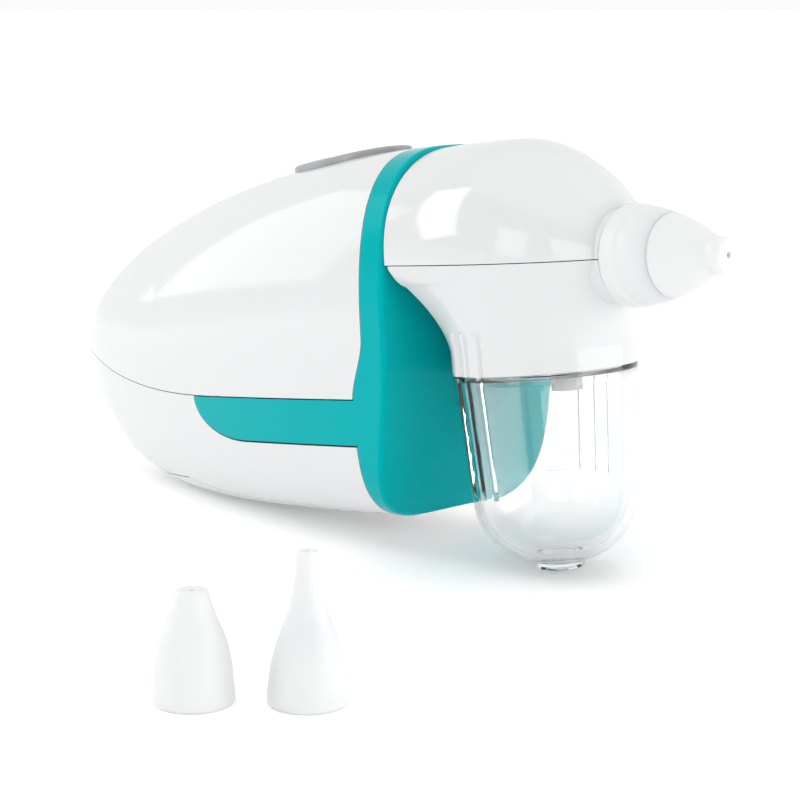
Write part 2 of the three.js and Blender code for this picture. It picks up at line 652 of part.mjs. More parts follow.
function motorEndCap() {
  const cap = turnedX([
    [0, MOTOR.rearX - 2], [4, MOTOR.rearX - 2], [4, MOTOR.rearX], [MOTOR.radius, MOTOR.rearX],
    [MOTOR.radius, MOTOR.rearX + 1.7], [0, MOTOR.rearX + 1.7],
  ], 0, MOTOR.z, 24);
  return cap.subtract(discX(1.2, MOTOR.rearX - 0.6, 0, 0, MOTOR.z, 12));
}

// Rotor, shaft and winding poles turn as one.
function motorRotor() {
  let solid = discX(0.9, MOTOR.rearX, MOTOR.frontX + 9, 0, MOTOR.z, 12);
  solid = solid.add(discX(3.2, MOTOR.rearX + 6, MOTOR.frontX - 4, 0, MOTOR.z, 14));
  for (let i = 0; i < 3; i += 1) {
    const pole = box(MOTOR.rearX + 8, MOTOR.frontX - 6, -1.5, 1.5, 0, 8.6)
      .add(box(MOTOR.rearX + 8, MOTOR.frontX - 6, -4.2, 4.2, 7.2, 8.6));
    solid = solid.add(pole.rotate([120 * i, 0, 0]).translate([0, 0, MOTOR.z]));
  }
  return solid;
}

function pumpEccentric() {
  const hub = discX(5.2, MOTOR.frontX + 3.2, MOTOR.frontX + 8.8, 0, MOTOR.z, 24);
  const nub = discX(1.1, MOTOR.frontX + 8.6, MOTOR.frontX + 10.6, 0, MOTOR.z + 2.6, 12);
  return hub.add(nub).subtract(discX(0.93, -100, MOTOR.frontX + 9.02, 0, MOTOR.z, 12));
}

function pumpHousing() {
  const shell = discX(PUMP.radius, PUMP.rearX, PUMP.frontX - 6, 0, MOTOR.z, 24);
  const cavity = discX(PUMP.radius - 1.4, PUMP.rearX + 1.4, 0, 0, MOTOR.z, 24);
  const port = box(PUMP.rearX + 5, PUMP.rearX + 9, -4, 4, MOTOR.z - 20, MOTOR.z - 8);
  return shell.subtract(cavity).subtract(discX(3, -100, 0, 0, MOTOR.z, 16)).subtract(port);
}

function pumpWobblePlate() {
  const x = MOTOR.frontX + 11;
  let solid = discX(3, x, x + 1.2, 0, MOTOR.z, 14);
  for (let i = 0; i < 3; i += 1) {
    const arm = box(x, x + 1.2, -1.8, 1.8, 0, 8).add(discX(2, x, x + 1.2, 0, 8, 10));
    solid = solid.add(arm.rotate([120 * i, 0, 0]).translate([0, 0, MOTOR.z]));
  }
  return solid;
}

function pumpDiaphragm() {
  const x = PUMP.frontX - 5.7;
  let solid = discX(PUMP.radius, x, x + 1.2, 0, MOTOR.z, 24);
  for (let i = 0; i < 3; i += 1) {
    const cup = turnedX([[0, x - 1.6], [2.2, x - 1.6], [3.6, x + 0.6], [0, x + 0.6]], 0, 7, 12);
    const hollow = discX(2.4, x, x + 3, 0, 7, 10);
    solid = solid.add(cup.rotate([120 * i, 0, 0]).translate([0, 0, MOTOR.z]));
    solid = solid.subtract(hollow.rotate([120 * i, 0, 0]).translate([0, 0, MOTOR.z]));
  }
  return solid;
}

function pumpValvePlate() {
  const x = PUMP.frontX - 4.2;
  let solid = discX(PUMP.radius, x, x + 1.6, 0, MOTOR.z, 24);
  for (let i = 0; i < 6; i += 1) {
    const hole = discX(0.8, x - 1, x + 3, 0, i % 2 ? 5.6 : 8, 8);
    solid = solid.subtract(hole.rotate([60 * i, 0, 0]).translate([0, 0, MOTOR.z]));
  }
  return solid;
}

function pumpCover() {
  const outer = turnedX([
    [0, PUMP.frontX - 2.3], [PUMP.radius, PUMP.frontX - 2.3], [PUMP.radius, PUMP.frontX],
    [4, PUMP.frontX + 0.8],
    [2.2, PUMP.frontX + 1], [2.2, PUMP.frontX + 7.4], [0, PUMP.frontX + 7.4],
  ], 0, MOTOR.z, 24);
  const bore = discX(1.3, PUMP.frontX - 1, 0, 0, MOTOR.z, 12);
  return outer.subtract(bore).subtract(discX(PUMP.radius - 2, -200, PUMP.frontX - 0.9, 0, MOTOR.z, 24));
}

function suctionTube() {
  return discX(3.3, PUMP.frontX + 1.6, -9.6, 0, MOTOR.z, 20).subtract(discX(2.4, -60, 20, 0, MOTOR.z, 16));
}

function filterHolder() {
  const outer = turnedX([
    [0, -9.2], [2.1, -9.2], [2.1, -8.9], [6, -8.9], [6, -5], [0, -5],
  ], 0, MOTOR.z, 24).add(discX(2.1, -13, -9, 0, MOTOR.z, 16));
  return outer.subtract(discX(5, -7.9, 0, 0, MOTOR.z, 24)).subtract(discX(1.3, -20, 0, 0, MOTOR.z, 12));
}

const filterDisc = () => discX(4.7, -7.6, -5.4, 0, MOTOR.z, 24);

const BRACKET = { halfWidth: 16.4, screwY: 14.6 };

function pumpBracket() {
  const front = PUMP.rearX - 2;
  const rear = MOTOR.rearX + 8;
  const base = box(rear, front, -BRACKET.halfWidth, BRACKET.halfWidth, -2.6 + GAP, -0.9);
  let cradle = box(rear + 2, rear + 6, -13.2, 13.2, -1.2, MOTOR.z);
  cradle = cradle.add(box(front - 6, front - 2, -13.2, 13.2, -1.2, MOTOR.z));
  cradle = cradle.subtract(discX(MOTOR.radius + GAP, -200, 0, 0, MOTOR.z, 24));
  let solid = base.add(cradle);
  for (const side of [-1, 1]) {
    solid = solid.subtract(discZ(1.2, (rear + front) / 2, side * BRACKET.screwY, -10, 10, 12));
  }
  return solid;
}

function exhaustMuffler() {
  return box(PUMP.rearX + 1.5, PUMP.rearX + 11.5, -6, 6, -2, MOTOR.z - PUMP.radius - GAP - 0.4);
}

function controlBoard() {
  const chip = box(-100, -95, -3, 3, 9.3, 11);
  const capacitor = discZ(2.5, -93, 5, 9.3, 15, 16);
  return box(-104, -90, -9, 9, 8, 9.4).add(chip).add(capacitor);
}

// Leads from the rear battery contact up to the board, and from the board to the switches.
function batteryLead(y) {
  return bentBar([[-92.5, y, -8], [-96, y, -4.5], [-98.5, y, 0], [-99, y, 4], [-98, y, 7.4]], 0.6, 10, 2);
}

function switchLead() {
  const points = [
    [-95, -3, 11.6], [-92, -3, 20], [-88, -3, 27.6], [-82, -3, 30.3], [-72, -3, 31.3], [-61.6, -3, 31.3],
  ];
  return bentBar(points, 0.6, 14, 2);
}

// ---------------------------------------------------------------- screws
function casingScrew(y) {
  const z = SCREW.seatZ - GAP;
  return turnedZ([
    [0, z - 1.6], [1.9, z - 1.6], [2.2, z - 1], [2.2, z], [1.1, z], [1.1, 3], [0, 4],
  ], 12).translate([SCREW.x, y, 0]);
}

function bracketScrew(y) {
  const x = (PUMP.rearX - 2 + MOTOR.rearX + 8) / 2;
  const profile = [[0, -8], [0.9, -7], [0.9, -0.6], [2, -0.6], [2, 0.5], [1.4, 1], [0, 1]];
  return turnedZ(profile, 12).translate([x, y, 0]);
}

// ---------------------------------------------------------------- scene graph
const finish = {
  gloss_white: { color: 0xf2f3f5, roughness: 0.16, metalness: 0 },
  teal: { color: 0x05b4b7, roughness: 0.2, metalness: 0 },
  clear: { color: 0xf4f8f8, roughness: 0.05, metalness: 0 },
  silicone: { color: 0xf3f4f5, roughness: 0.55, metalness: 0 },
  grey: { color: 0xa9adaf, roughness: 0.4, metalness: 0 },
  rubber: { color: 0x9ba0a2, roughness: 0.8, metalness: 0 },
  steel: { color: 0xb8babd, roughness: 0.3, metalness: 1 },
  brass: { color: 0xc9a55a, roughness: 0.35, metalness: 1 },
  black: { color: 0x1c1d1f, roughness: 0.5, metalness: 0 },
  board: { color: 0x1c6b3c, roughness: 0.5, metalness: 0 },
  foam: { color: 0x3a3c40, roughness: 0.95, metalness: 0 },
  cell: { color: 0x3b4f7a, roughness: 0.35, metalness: 0.2 },
  red: { color: 0xb3231f, roughness: 0.5, metalness: 0 },
  copper: { color: 0xb06a3b, roughness: 0.4, metalness: 1 },
};

function piece(name, solid, look) {
  const mesh = new THREE.Mesh(geometryOf(solid), new THREE.MeshStandardMaterial(finish[look]));
  mesh.name = name;
  return mesh;
}

const device = new THREE.Group();
const cellRear = CELL.frontX - CELL.length;
device.add(
  piece("upper_casing", upperCasing(), "gloss_white"),
  piece("lower_casing", lowerCasing(), "gloss_white"),
  piece("front_frame", frontFrame(), "teal"),
  piece("battery_door", batteryDoor(), "gloss_white"),
  piece("head_upper_shell", headUpperShell(), "gloss_white"),
  piece("head_lower_shell", headLowerShell(), "gloss_white"),
  piece("collection_cup", collectionCup(), "clear"),
  piece("cup_seal", cupSeal(), "silicone"),
  piece("separator_plate", separatorPlate(), "gloss_white"),
  piece("drip_tube", dripTube(), "gloss_white"),
  piece("power_button", powerButton(), "grey"),
  piece("button_pin", buttonPin(), "steel"),
  piece("switch_board", switchBoard(), "board"),
  piece("front_switch", tactSwitch(1), "black"),
  piece("rear_switch", tactSwitch(-1), "black"),
  piece("battery_tray", batteryTray(), "black"),
  piece("contact_bridge", box(cellRear - 3.6, cellRear - 3.3, -12, 12, CELL.z - 4, CELL.z + 4), "steel"),
  piece("motor_can", motorCan(), "steel"),
  piece("motor_end_cap", motorEndCap(), "black"),
  piece("motor_rotor", motorRotor(), "copper"),
  piece("pump_eccentric", pumpEccentric(), "gloss_white"),
  piece("pump_wobble_plate", pumpWobblePlate(), "black"),
  piece("pump_housing", pumpHousing(), "black"),
  piece("pump_diaphragm", pumpDiaphragm(), "rubber"),
  piece("pump_valve_plate", pumpValvePlate(), "black"),
  piece("pump_cover", pumpCover(), "black"),
  piece("pump_bracket", pumpBracket(), "gloss_white"),
  piece("exhaust_muffler", exhaustMuffler(), "foam"),
  piece("suction_tube", suctionTube(), "silicone"),
  piece("filter_holder", filterHolder(), "gloss_white"),
  piece("filter_disc", filterDisc(), "foam"),
  piece("control_board", controlBoard(), "board"),
  piece("battery_lead_red", batteryLead(3.5), "red"),
  piece("battery_lead_black", batteryLead(-3.5), "black"),
  piece("switch_lead", switchLead(), "black"),
);

// The nozzle's pieces share one drooping axis, with X counted from the cup's axis.
const nozzle = new THREE.Group();
nozzle.position.z = HEAD.parting;
nozzle.rotation.y = THREE.MathUtils.degToRad(HEAD.droop);
nozzle.add(
  piece("nozzle_connector", nozzleConnector(), "gloss_white"),
  piece("nozzle_collar", nozzleCollar(), "silicone"),
  piece("nozzle_tip", nozzleTip(), "silicone"),
);
device.add(nozzle);

for (const [side, label] of [[1, "left"], [-1, "right"]]) {
  device.add(
    piece(`battery_${label}`, battery(side), "cell"),
    piece(`battery_spring_${label}`, batterySpring(side), "steel"),
    piece(`contact_plate_${label}`, contactPlate(side, CELL.frontX + CELL.nub + 0.2, 4.5), "brass"),
    piece(`casing_screw_${label}`, casingScrew(side * SCREW.y), "steel"),
    piece(`bracket_screw_${label}`, bracketScrew(side * BRACKET.screwY), "steel"),
  );
}

// ---------------------------------------------------------------- standing on a table
// The floor touches the rear edge of the cup's foot and one station of the underside.
function restTilt() {
  let slope = Infinity;
  for (let x = -30; x > -130; x -= 0.25) {
    const under = Math.max(bodySizes(x).bottom, flatZ);
    slope = Math.min(slope, (under + CUP.depth) / (-CUP.footRadius - x));
  }
  return Math.atan(slope);
}

const tilt = restTilt();
device.rotation.y = -tilt;
device.updateMatrixWorld(true);
const deviceBox = new THREE.Box3().setFromObject(device, true);
device.position.z = -deviceBox.min.z;

const nozzleAspirator = new THREE.Group();
nozzleAspirator.add(device);
const spareShort = piece("spare_tip_short", spareTip(SPARE.short.height, shortOutline), "silicone");
spareShort.position.set(SPARE.short.x, SPARE.short.y, 0);
const spareLong = piece("spare_tip_long", spareTip(SPARE.long.height, longOutline), "silicone");
spareLong.position.set(SPARE.long.x, SPARE.long.y, 0);
nozzleAspirator.add(spareShort, spareLong);

nozzleAspirator.updateMatrixWorld(true);
const whole = new THREE.Box3().setFromObject(nozzleAspirator, true);
const middle = whole.getCenter(new THREE.Vector3());
const assembly = new THREE.Group();
nozzleAspirator.position.set(-middle.x, -middle.y, 0);
assembly.add(nozzleAspirator);

export default assembly;
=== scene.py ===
import json
import math

import bmesh
import bpy
import numpy as np
from mathutils import Matrix, Vector


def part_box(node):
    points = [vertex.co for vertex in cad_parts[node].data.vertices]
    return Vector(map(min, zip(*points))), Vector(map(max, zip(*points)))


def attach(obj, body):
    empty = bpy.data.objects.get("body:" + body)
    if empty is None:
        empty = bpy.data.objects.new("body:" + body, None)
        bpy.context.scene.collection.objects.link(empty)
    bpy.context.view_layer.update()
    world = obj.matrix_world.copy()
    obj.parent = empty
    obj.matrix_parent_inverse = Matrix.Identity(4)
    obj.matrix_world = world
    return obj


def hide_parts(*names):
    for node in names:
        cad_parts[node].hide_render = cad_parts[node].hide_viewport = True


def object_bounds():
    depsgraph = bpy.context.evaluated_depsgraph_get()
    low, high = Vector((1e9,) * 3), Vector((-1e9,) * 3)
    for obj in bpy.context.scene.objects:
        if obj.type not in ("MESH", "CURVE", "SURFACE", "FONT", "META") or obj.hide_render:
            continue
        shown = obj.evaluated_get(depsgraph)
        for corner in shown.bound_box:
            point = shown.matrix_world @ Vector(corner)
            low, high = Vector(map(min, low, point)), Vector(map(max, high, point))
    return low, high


# An electric nasal aspirator on a white table, with two spare silicone tips beside it.
# The outer pieces are drawn in the device's own frame, in millimetres: the cup's axis is Z, the
# cup's rim is z = 0, the nozzle points along +X. DEVICE carries them into the row frame in metres.

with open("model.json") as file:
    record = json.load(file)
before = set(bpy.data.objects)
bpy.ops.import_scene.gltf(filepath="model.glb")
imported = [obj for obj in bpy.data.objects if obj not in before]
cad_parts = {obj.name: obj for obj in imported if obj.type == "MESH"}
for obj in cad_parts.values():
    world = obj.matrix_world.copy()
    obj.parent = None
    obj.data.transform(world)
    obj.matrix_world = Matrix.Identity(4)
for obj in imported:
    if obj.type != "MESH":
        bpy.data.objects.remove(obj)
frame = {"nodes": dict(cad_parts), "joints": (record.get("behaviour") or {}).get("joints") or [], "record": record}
cad_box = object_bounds()

MM = 0.001
joints = {joint["name"]: joint for joint in frame["joints"]}
cup_axis = Vector(joints["cup_twist"]["axis"])
forward = -Vector(joints["door_slide"]["axis"])
sideways = cup_axis.cross(forward)
origin = Vector(joints["cup_twist"]["pos_m"])
DEVICE = (Matrix.Translation(origin) @ Matrix((forward, sideways, cup_axis)).transposed().to_4x4()
          @ Matrix.Scale(MM, 4))

# ---------------------------------------------------------------- driving dimensions, millimetres
GAP = 0.3
SEAM = 0.16                                          # a shut parting line, finer than a working gap
WALL = 2.0
THIN_WALL = 1.7
HALF_WIDTH, TOP, BOTTOM = 21.5, 40.1, -25.8          # the body at the band
PARTING, PARTING_RISE = -3.1, 10.9                   # parting line at the band, and its climb to the tail
CLIMB_FROM, CLIMB_OVER = 0.42, 0.58                  # shares of the body's length before and along the climb
TAIL_X, TAIL_Z = -134.5, 5.25
FLAT_Z = BOTTOM + 0.35                               # the underside is planed flat here
BAND_REAR, BAND_FRONT, BAND_PLATE = -23.0, -17.6, 2.0
BAND_STEP, BAND_LEAN, LEAN_FROM = 3.6, 0.0105, 9.0
STEP_FROM, STEP_OVER = 8.0, 12.0                     # height where the step starts, and the height it takes
RIDGE = 1.0                                          # rounding of the band's front edge
WING_TIP, WING_STRAIGHT, WING_LOW = -76.5, -60.0, -11.3
CUP_RADIUS, CUP_DEPTH, CUP_WALL, CUP_TAPER = 16.1, 34.8, 1.4, 0.0805
CUP_ROUND_FROM, CUP_FULLNESS = -19.5, 0.84
FOOT_RADIUS, FOOT_HEIGHT = 4.2, 0.8
NECK_RADIUS, NECK_HEIGHT, SHOULDER = 13.2, 5.0, 0.45
HEAD_PARTING, HEAD_DROOP, HEAD_FRONT = 19.4, 2.0, 24.0
HEAD_HALF_WIDTH, HEAD_TOP, HEAD_REAR = 19.7, 39.75, BAND_FRONT + GAP
HEAD_CROWN, HEAD_REAR_DIP = 0.366, 0.03              # where the dome is highest, and its fall behind that
SEAT_X, COLLAR_RADIUS, COLLAR_BORE, CREASE_X = 21.3, 8.5, 6.9, 30.6
TIP_RADIUS, TIP_END, BULB_RADIUS, MOUTH = 6.6, 42.0, 3.1, 0.32
SOCKET_RADIUS, TUBE_RADIUS, BORE_RADIUS = 3.9, 3.6, 1.9
BUTTON_X, BUTTON_HALF_LENGTH, BUTTON_HALF_WIDTH, BUTTON_PROUD = -45.4, 14.2, 7.4, 1.1
BUTTON_PIVOT_Z, BUTTON_SQUARE, BUTTON_ROOM = 35.0, 2.15, 0.4
DOOR_FRONT, DOOR_HALF_WIDTH, DOOR_TOP = -37.0, 14.8, -20.0
DOOR_GRIPS_X, DOOR_GRIP_HALF, DOOR_GRIP_REACH = (-44.0, -46.5, -49.0), 0.5, 5.0
SCREW_X, SCREW_Y, SCREW_SEAT_Z = -30.3, 12.0, -12.0
SCREW_HEAD_ROOM, SCREW_SHANK_ROOM = 2.6, 1.4
BOSS_RADIUS, BOSS_NECK_RADIUS, BOSS_FOOT_Z = 3.8, 3.0, -25.2
MOTOR_Z, MOTOR_PORT_RADIUS = 17.0, 3.8
DRIP_X, DRIP_RADIUS, DRIP_LOW = 4.8, 2.7, -3.6
SPARE_RADIUS = 5.9

Y_AXIS = np.array([0.0, 1.0, 0.0])


# ---------------------------------------------------------------- materials
def material(name, base, roughness, vary=0.03, bump=0.02, grain=900.0, **sockets):
    """A moulded surface: faint cloudiness in colour and gloss, and a fine skin texture."""
    made = bpy.data.materials.new(name)
    made.use_nodes = True
    nodes, links = made.node_tree.nodes, made.node_tree.links
    shader = nodes["Principled BSDF"]
    place = nodes.new("ShaderNodeTexCoord")
    cloud = nodes.new("ShaderNodeTexNoise")
    cloud.inputs["Scale"].default_value = 45.0
    cloud.inputs["Detail"].default_value = 3.0
    links.new(place.outputs["Object"], cloud.inputs["Vector"])
    tint = nodes.new("ShaderNodeMix")
    tint.data_type = "RGBA"
    tint.inputs["A"].default_value = (*base, 1.0)
    tint.inputs["B"].default_value = (*[channel * (1.0 - vary) for channel in base], 1.0)
    links.new(cloud.outputs["Fac"], tint.inputs["Factor"])
    links.new(tint.outputs["Result"], shader.inputs["Base Color"])
    gloss = nodes.new("ShaderNodeMapRange")
    gloss.inputs["To Min"].default_value = roughness * 0.85
    gloss.inputs["To Max"].default_value = min(1.0, roughness * 1.15)
    links.new(cloud.outputs["Fac"], gloss.inputs["Value"])
    links.new(gloss.outputs["Result"], shader.inputs["Roughness"])
    skin_noise = nodes.new("ShaderNodeTexNoise")
    skin_noise.inputs["Scale"].default_value = grain
    skin_noise.inputs["Detail"].default_value = 2.0
    links.new(place.outputs["Object"], skin_noise.inputs["Vector"])
    relief = nodes.new("ShaderNodeBump")
    relief.inputs["Strength"].default_value = bump
    relief.inputs["Distance"].default_value = 0.0002
    links.new(skin_noise.outputs["Fac"], relief.inputs["Height"])
    links.new(relief.outputs["Normal"], shader.inputs["Normal"])
    for socket, value in sockets.items():
        shader.inputs[socket.replace("_", " ")].default_value = value
    return made


white_gloss = material("white_gloss", (0.665, 0.668, 0.672), 0.09, vary=0.01, bump=0.012, grain=350.0)
teal_gloss = material("teal_gloss", (0.0, 0.372, 0.392), 0.12, vary=0.04, bump=0.012, grain=350.0,
                      Specular_IOR_Level=0.14, Specular_Tint=(0.1, 0.9, 0.92, 1.0))
clear_plastic = material("clear_plastic", (0.945, 0.95, 0.95), 0.03, vary=0.005, bump=0.004, grain=250.0,
                         Transmission_Weight=1.0, IOR=1.3, Coat_Weight=0.8, Coat_Roughness=0.03)
silicone = material("milky_silicone", (0.715, 0.717, 0.72), 0.42, vary=0.02, bump=0.05, grain=1500.0,
                    Subsurface_Weight=0.3, Subsurface_Scale=0.003, Subsurface_Radius=(1.0, 0.95, 0.9))
key_grey = material("key_grey", (0.29, 0.3, 0.308), 0.24, vary=0.04, bump=0.12, grain=2600.0)
inner_white = material("moulded_white", (0.80, 0.80, 0.79), 0.42, bump=0.08, grain=2200.0)
inner_black = material("moulded_black", (0.02, 0.02, 0.022), 0.48, vary=0.2, bump=0.1, grain=2200.0)
plated_steel = material("plated_steel", (0.62, 0.63, 0.64), 0.28, vary=0.08, bump=0.05, Metallic=1.0)
brass = material("brass", (0.60, 0.42, 0.16), 0.32, vary=0.12, bump=0.05, Metallic=1.0)
copper = material("copper_windings", (0.55, 0.22, 0.10), 0.36, vary=0.2, bump=0.5, grain=1600.0, Metallic=1.0)
board_green = material("circuit_board", (0.02, 0.16, 0.06), 0.4, vary=0.3, bump=0.15, grain=700.0)
dark_foam = material("dark_foam", (0.045, 0.048, 0.052), 0.95, vary=0.4, bump=0.9, grain=1400.0)
cell_sleeve = material("cell_sleeve", (0.05, 0.09, 0.20), 0.3, vary=0.1, bump=0.02)
grey_rubber = material("grey_rubber", (0.32, 0.34, 0.35), 0.7, vary=0.1, bump=0.2, grain=1800.0)
red_wire = material("red_insulation", (0.45, 0.02, 0.015), 0.45, vary=0.1, bump=0.05)
black_wire = material("black_insulation", (0.02, 0.02, 0.02), 0.45, vary=0.1, bump=0.05)

slot_finish = {
    "white_shell": white_gloss, "teal_shell": teal_gloss, "clear_cup": clear_plastic, "silicone": silicone,
    "grey_key": key_grey, "inner_white": inner_white, "inner_black": inner_black, "steel": plated_steel,
    "brass": brass, "copper": copper, "board": board_green, "foam": dark_foam, "cell": cell_sleeve,
    "rubber": grey_rubber, "red_wire": red_wire, "black_wire": black_wire,
}
for part in frame["record"]["subparts"]:
    cad_mesh = frame["nodes"][part["node"]].data
    cad_mesh.materials.clear()
    cad_mesh.materials.append(slot_finish[part["material_slot"]])


# ---------------------------------------------------------------- mesh tools
def mesh_of(name, points, faces):
    """A closed mesh with its faces turned outwards."""
    mesh = bpy.data.meshes.new(name)
    mesh.from_pydata([tuple(point) for point in points], [], faces)
    work = bmesh.new()
    work.from_mesh(mesh)
    bmesh.ops.recalc_face_normals(work, faces=work.faces)
    work.to_mesh(mesh)
    work.free()
    return mesh


def solid(name, points, faces):
    made = bpy.data.objects.new(name, mesh_of(name, points, faces))
    bpy.context.scene.collection.objects.link(made)
    return made


def skin(name, rings):
    """A closed skin over rings of equal point count; a ring may be one point."""
    points = []
    starts = []
    for ring in rings:
        starts.append(len(points))
        points.extend(ring)
    count = max(len(ring) for ring in rings)
    faces = []
    for i in range(len(rings) - 1):
        a, b = starts[i], starts[i + 1]
        for j in range(count):
            k = (j + 1) % count
            if len(rings[i]) == 1:
                faces.append((a, b + k, b + j))
            elif len(rings[i + 1]) == 1:
                faces.append((a + j, a + k, b))
            else:
                faces.append((a + j, a + k, b + k, b + j))
    return solid(name, points, faces)


def capped(rings):
    return [[np.mean(rings[0], axis=0)], *rings, [np.mean(rings[-1], axis=0)]]


def boolean(target, tool, operation="DIFFERENCE"):
    cut = target.modifiers.new("cut", "BOOLEAN")
    cut.operation = operation
    cut.object = tool
    cut.solver = "MANIFOLD"
    graph = bpy.context.evaluated_depsgraph_get()
    result = bpy.data.meshes.new_from_object(target.evaluated_get(graph))
    target.modifiers.clear()
    target.data = result
    return target


def without(target, *tools):
    for tool in tools:
        boolean(target, tool)
        bpy.data.objects.remove(tool)
    return target


def within(target, *tools):
    for tool in tools:
        boolean(target, tool, "INTERSECT")
        bpy.data.objects.remove(tool)
    return target


def joined(target, *tools):
    for tool in tools:
        boolean(target, tool, "UNION")
        bpy.data.objects.remove(tool)
    return target


def copy_of(source):
    made = source.copy()
    made.data = source.data.copy()
    bpy.context.scene.collection.objects.link(made)
    return made


def prism(outline, low, high, to_point):
    """An outline of pairs pushed from low to high; to_point(pair, level) gives the 3-D point."""
    count = len(outline)
    points = [to_point(pair, level) for level in (low, high) for pair in outline]
    faces = [tuple(range(count)), tuple(range(count, 2 * count))]
    faces += [(j, (j + 1) % count, count + (j + 1) % count, count + j) for j in range(count)]
    return solid("prism", points, faces)


def side_plate(outline, low, high):
    return prism(outline, low, high, lambda pair, level: (pair[0], level, pair[1]))


def plan_plate(outline, low, high):
    return prism(outline, low, high, lambda pair, level: (pair[0], pair[1], level))


def block(x0, x1, y0, y1, z0, z1):
    return plan_plate([(x0, y0), (x1, y0), (x1, y1), (x0, y1)], z0, z1)


def rounded(profile, keep, passes=2):
    """Corner-cuts a profile of pairs, so that it reads as one smooth line; keep holds sharp corners."""
    points = [tuple(pair) for pair in profile]
    sharp = {tuple(pair) for pair in keep} | {points[0], points[-1]}
    for _ in range(passes):
        cut = []
        for before, point, after in zip([None, *points], points, [*points[1:], None]):
            if point in sharp:
                cut.append(point)
                continue
            cut.append(tuple(0.25 * b + 0.75 * p for b, p in zip(before, point)))
            cut.append(tuple(0.75 * p + 0.25 * a for p, a in zip(point, after)))
        points = cut
    return points


def welded(made):
    """Joins the first and last ring of a skin that closes on itself."""
    work = bmesh.new()
    work.from_mesh(made.data)
    bmesh.ops.remove_doubles(work, verts=work.verts, dist=1e-5)
    bmesh.ops.recalc_face_normals(work, faces=work.faces)
    work.to_mesh(made.data)
    work.free()
    return made


def turned(name, profile, angles, axis="Z", grow=None, closed=False):
    """A solid of revolution from (radius, level) pairs. grow(radius, level, angle) adds to the radius."""
    rings = []
    for radius, level in profile:
        if radius <= 0.0:
            ring = [(0.0, 0.0, level)]
        else:
            ring = []
            for angle in angles:
                out = radius + (grow(radius, level, angle) if grow else 0.0)
                ring.append((out * math.cos(angle), out * math.sin(angle), level))
        rings.append([(z, x, y) for x, y, z in ring] if axis == "X" else ring)
    if closed:
        rings.append(rings[0])
    made = skin(name, rings)
    return welded(made) if closed else made


def around(count):
    return [2.0 * math.pi * j / count for j in range(count)]


def disc(radius, low, high, x=0.0, y=0.0, z=0.0, axis="Z", count=48):
    made = turned("disc", [(0, low), (radius, low), (radius, high), (0, high)], around(count), axis)
    made.data.transform(Matrix.Translation((x, y, z)))
    return made


def drooped(made):
    """Tilts a piece drawn level at the head's parting height down to the drooping parting plane."""
    lift = Matrix.Translation((0, 0, HEAD_PARTING))
    made.data.transform(lift @ Matrix.Rotation(math.radians(HEAD_DROOP), 4, "Y") @ lift.inverted())
    return made


CREASE = 32.0                 # degrees; a sharper edge than this stays sharp
ON_FORM = 0.004               # a point whose level is nearer to zero than this lies on the form
ALIKE = 0.93                  # least cosine between a face and the form's own normal
PROBE = 0.02                  # millimetres either side of a point, to take a slope


def smooth(made, crease=CREASE):
    made.data.polygons.foreach_set("use_smooth", np.ones(len(made.data.polygons), bool))
    made.data.set_sharp_from_angle(angle=math.radians(crease))
    return made


def slope_of(level, points):
    return np.stack([level(points + PROBE * way) - level(points - PROBE * way) for way in np.eye(3)], axis=1)


def polish(made, level):
    """Smooth shading, with the exact normals of the form level = 0 where a face lies on it."""
    mesh = smooth(made).data
    points = np.empty(len(mesh.vertices) * 3)
    mesh.vertices.foreach_get("co", points)
    points = points.reshape(-1, 3)
    slope = slope_of(level, points)
    slope /= np.maximum(np.linalg.norm(slope, axis=1, keepdims=True), 1e-9)
    on_form = np.abs(level(points)) < ON_FORM
    corner_vertex = np.empty(len(mesh.loops), np.int32)
    mesh.loops.foreach_get("vertex_index", corner_vertex)
    sides = np.empty(len(mesh.polygons), np.int32)
    mesh.polygons.foreach_get("loop_total", sides)
    facing = np.empty(len(mesh.polygons) * 3)
    mesh.polygons.foreach_get("normal", facing)
    facing = np.repeat(facing.reshape(-1, 3), sides, axis=0)
    wanted = slope[corner_vertex]
    good = on_form[corner_vertex] & (np.sum(wanted * facing, axis=1) > ALIKE)
    wanted[~good] = 0.0
    mesh.normals_split_custom_set([tuple(normal) for normal in wanted])
    return made


def piece(made, name, nodes, body, slot, place=DEVICE):
    """Puts a finished solid in the row frame, on its body, in place of its CAD nodes."""
    made.name = name
    made.data.name = name
    made.data.transform(place)
    made.data.materials.clear()
    made.data.materials.append(slot_finish[slot])
    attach(made, body)
    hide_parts(*nodes)
    return made


# ---------------------------------------------------------------- the body's outer form
def fade(u, a, b):
    """Falls from 1 at u = 0 to 0 at u = 1 along a superellipse."""
    return np.maximum(0.0, 1.0 - u ** a) ** (1.0 / b)


def mix(a, b, t):
    return a + (b - a) * t


def clamp01(t):
    return np.clip(t, 0.0, 1.0)


def reach(phi, w, h, n):
    """Distance to a superellipse's edge in direction phi, for half-sizes w and h."""
    return ((np.abs(np.cos(phi)) / w) ** n + (np.abs(np.sin(phi)) / h) ** n) ** (-1.0 / n)


def along(x, inset=0.0):
    """Share of the way from the band to the tail."""
    return clamp01((BAND_REAR - x) / (BAND_REAR - TAIL_X - inset))


def parting_level(u):
    """The parting line is level at first, then climbs to the tail."""
    return PARTING + PARTING_RISE * clamp01((u - CLIMB_FROM) / CLIMB_OVER) ** 2.3


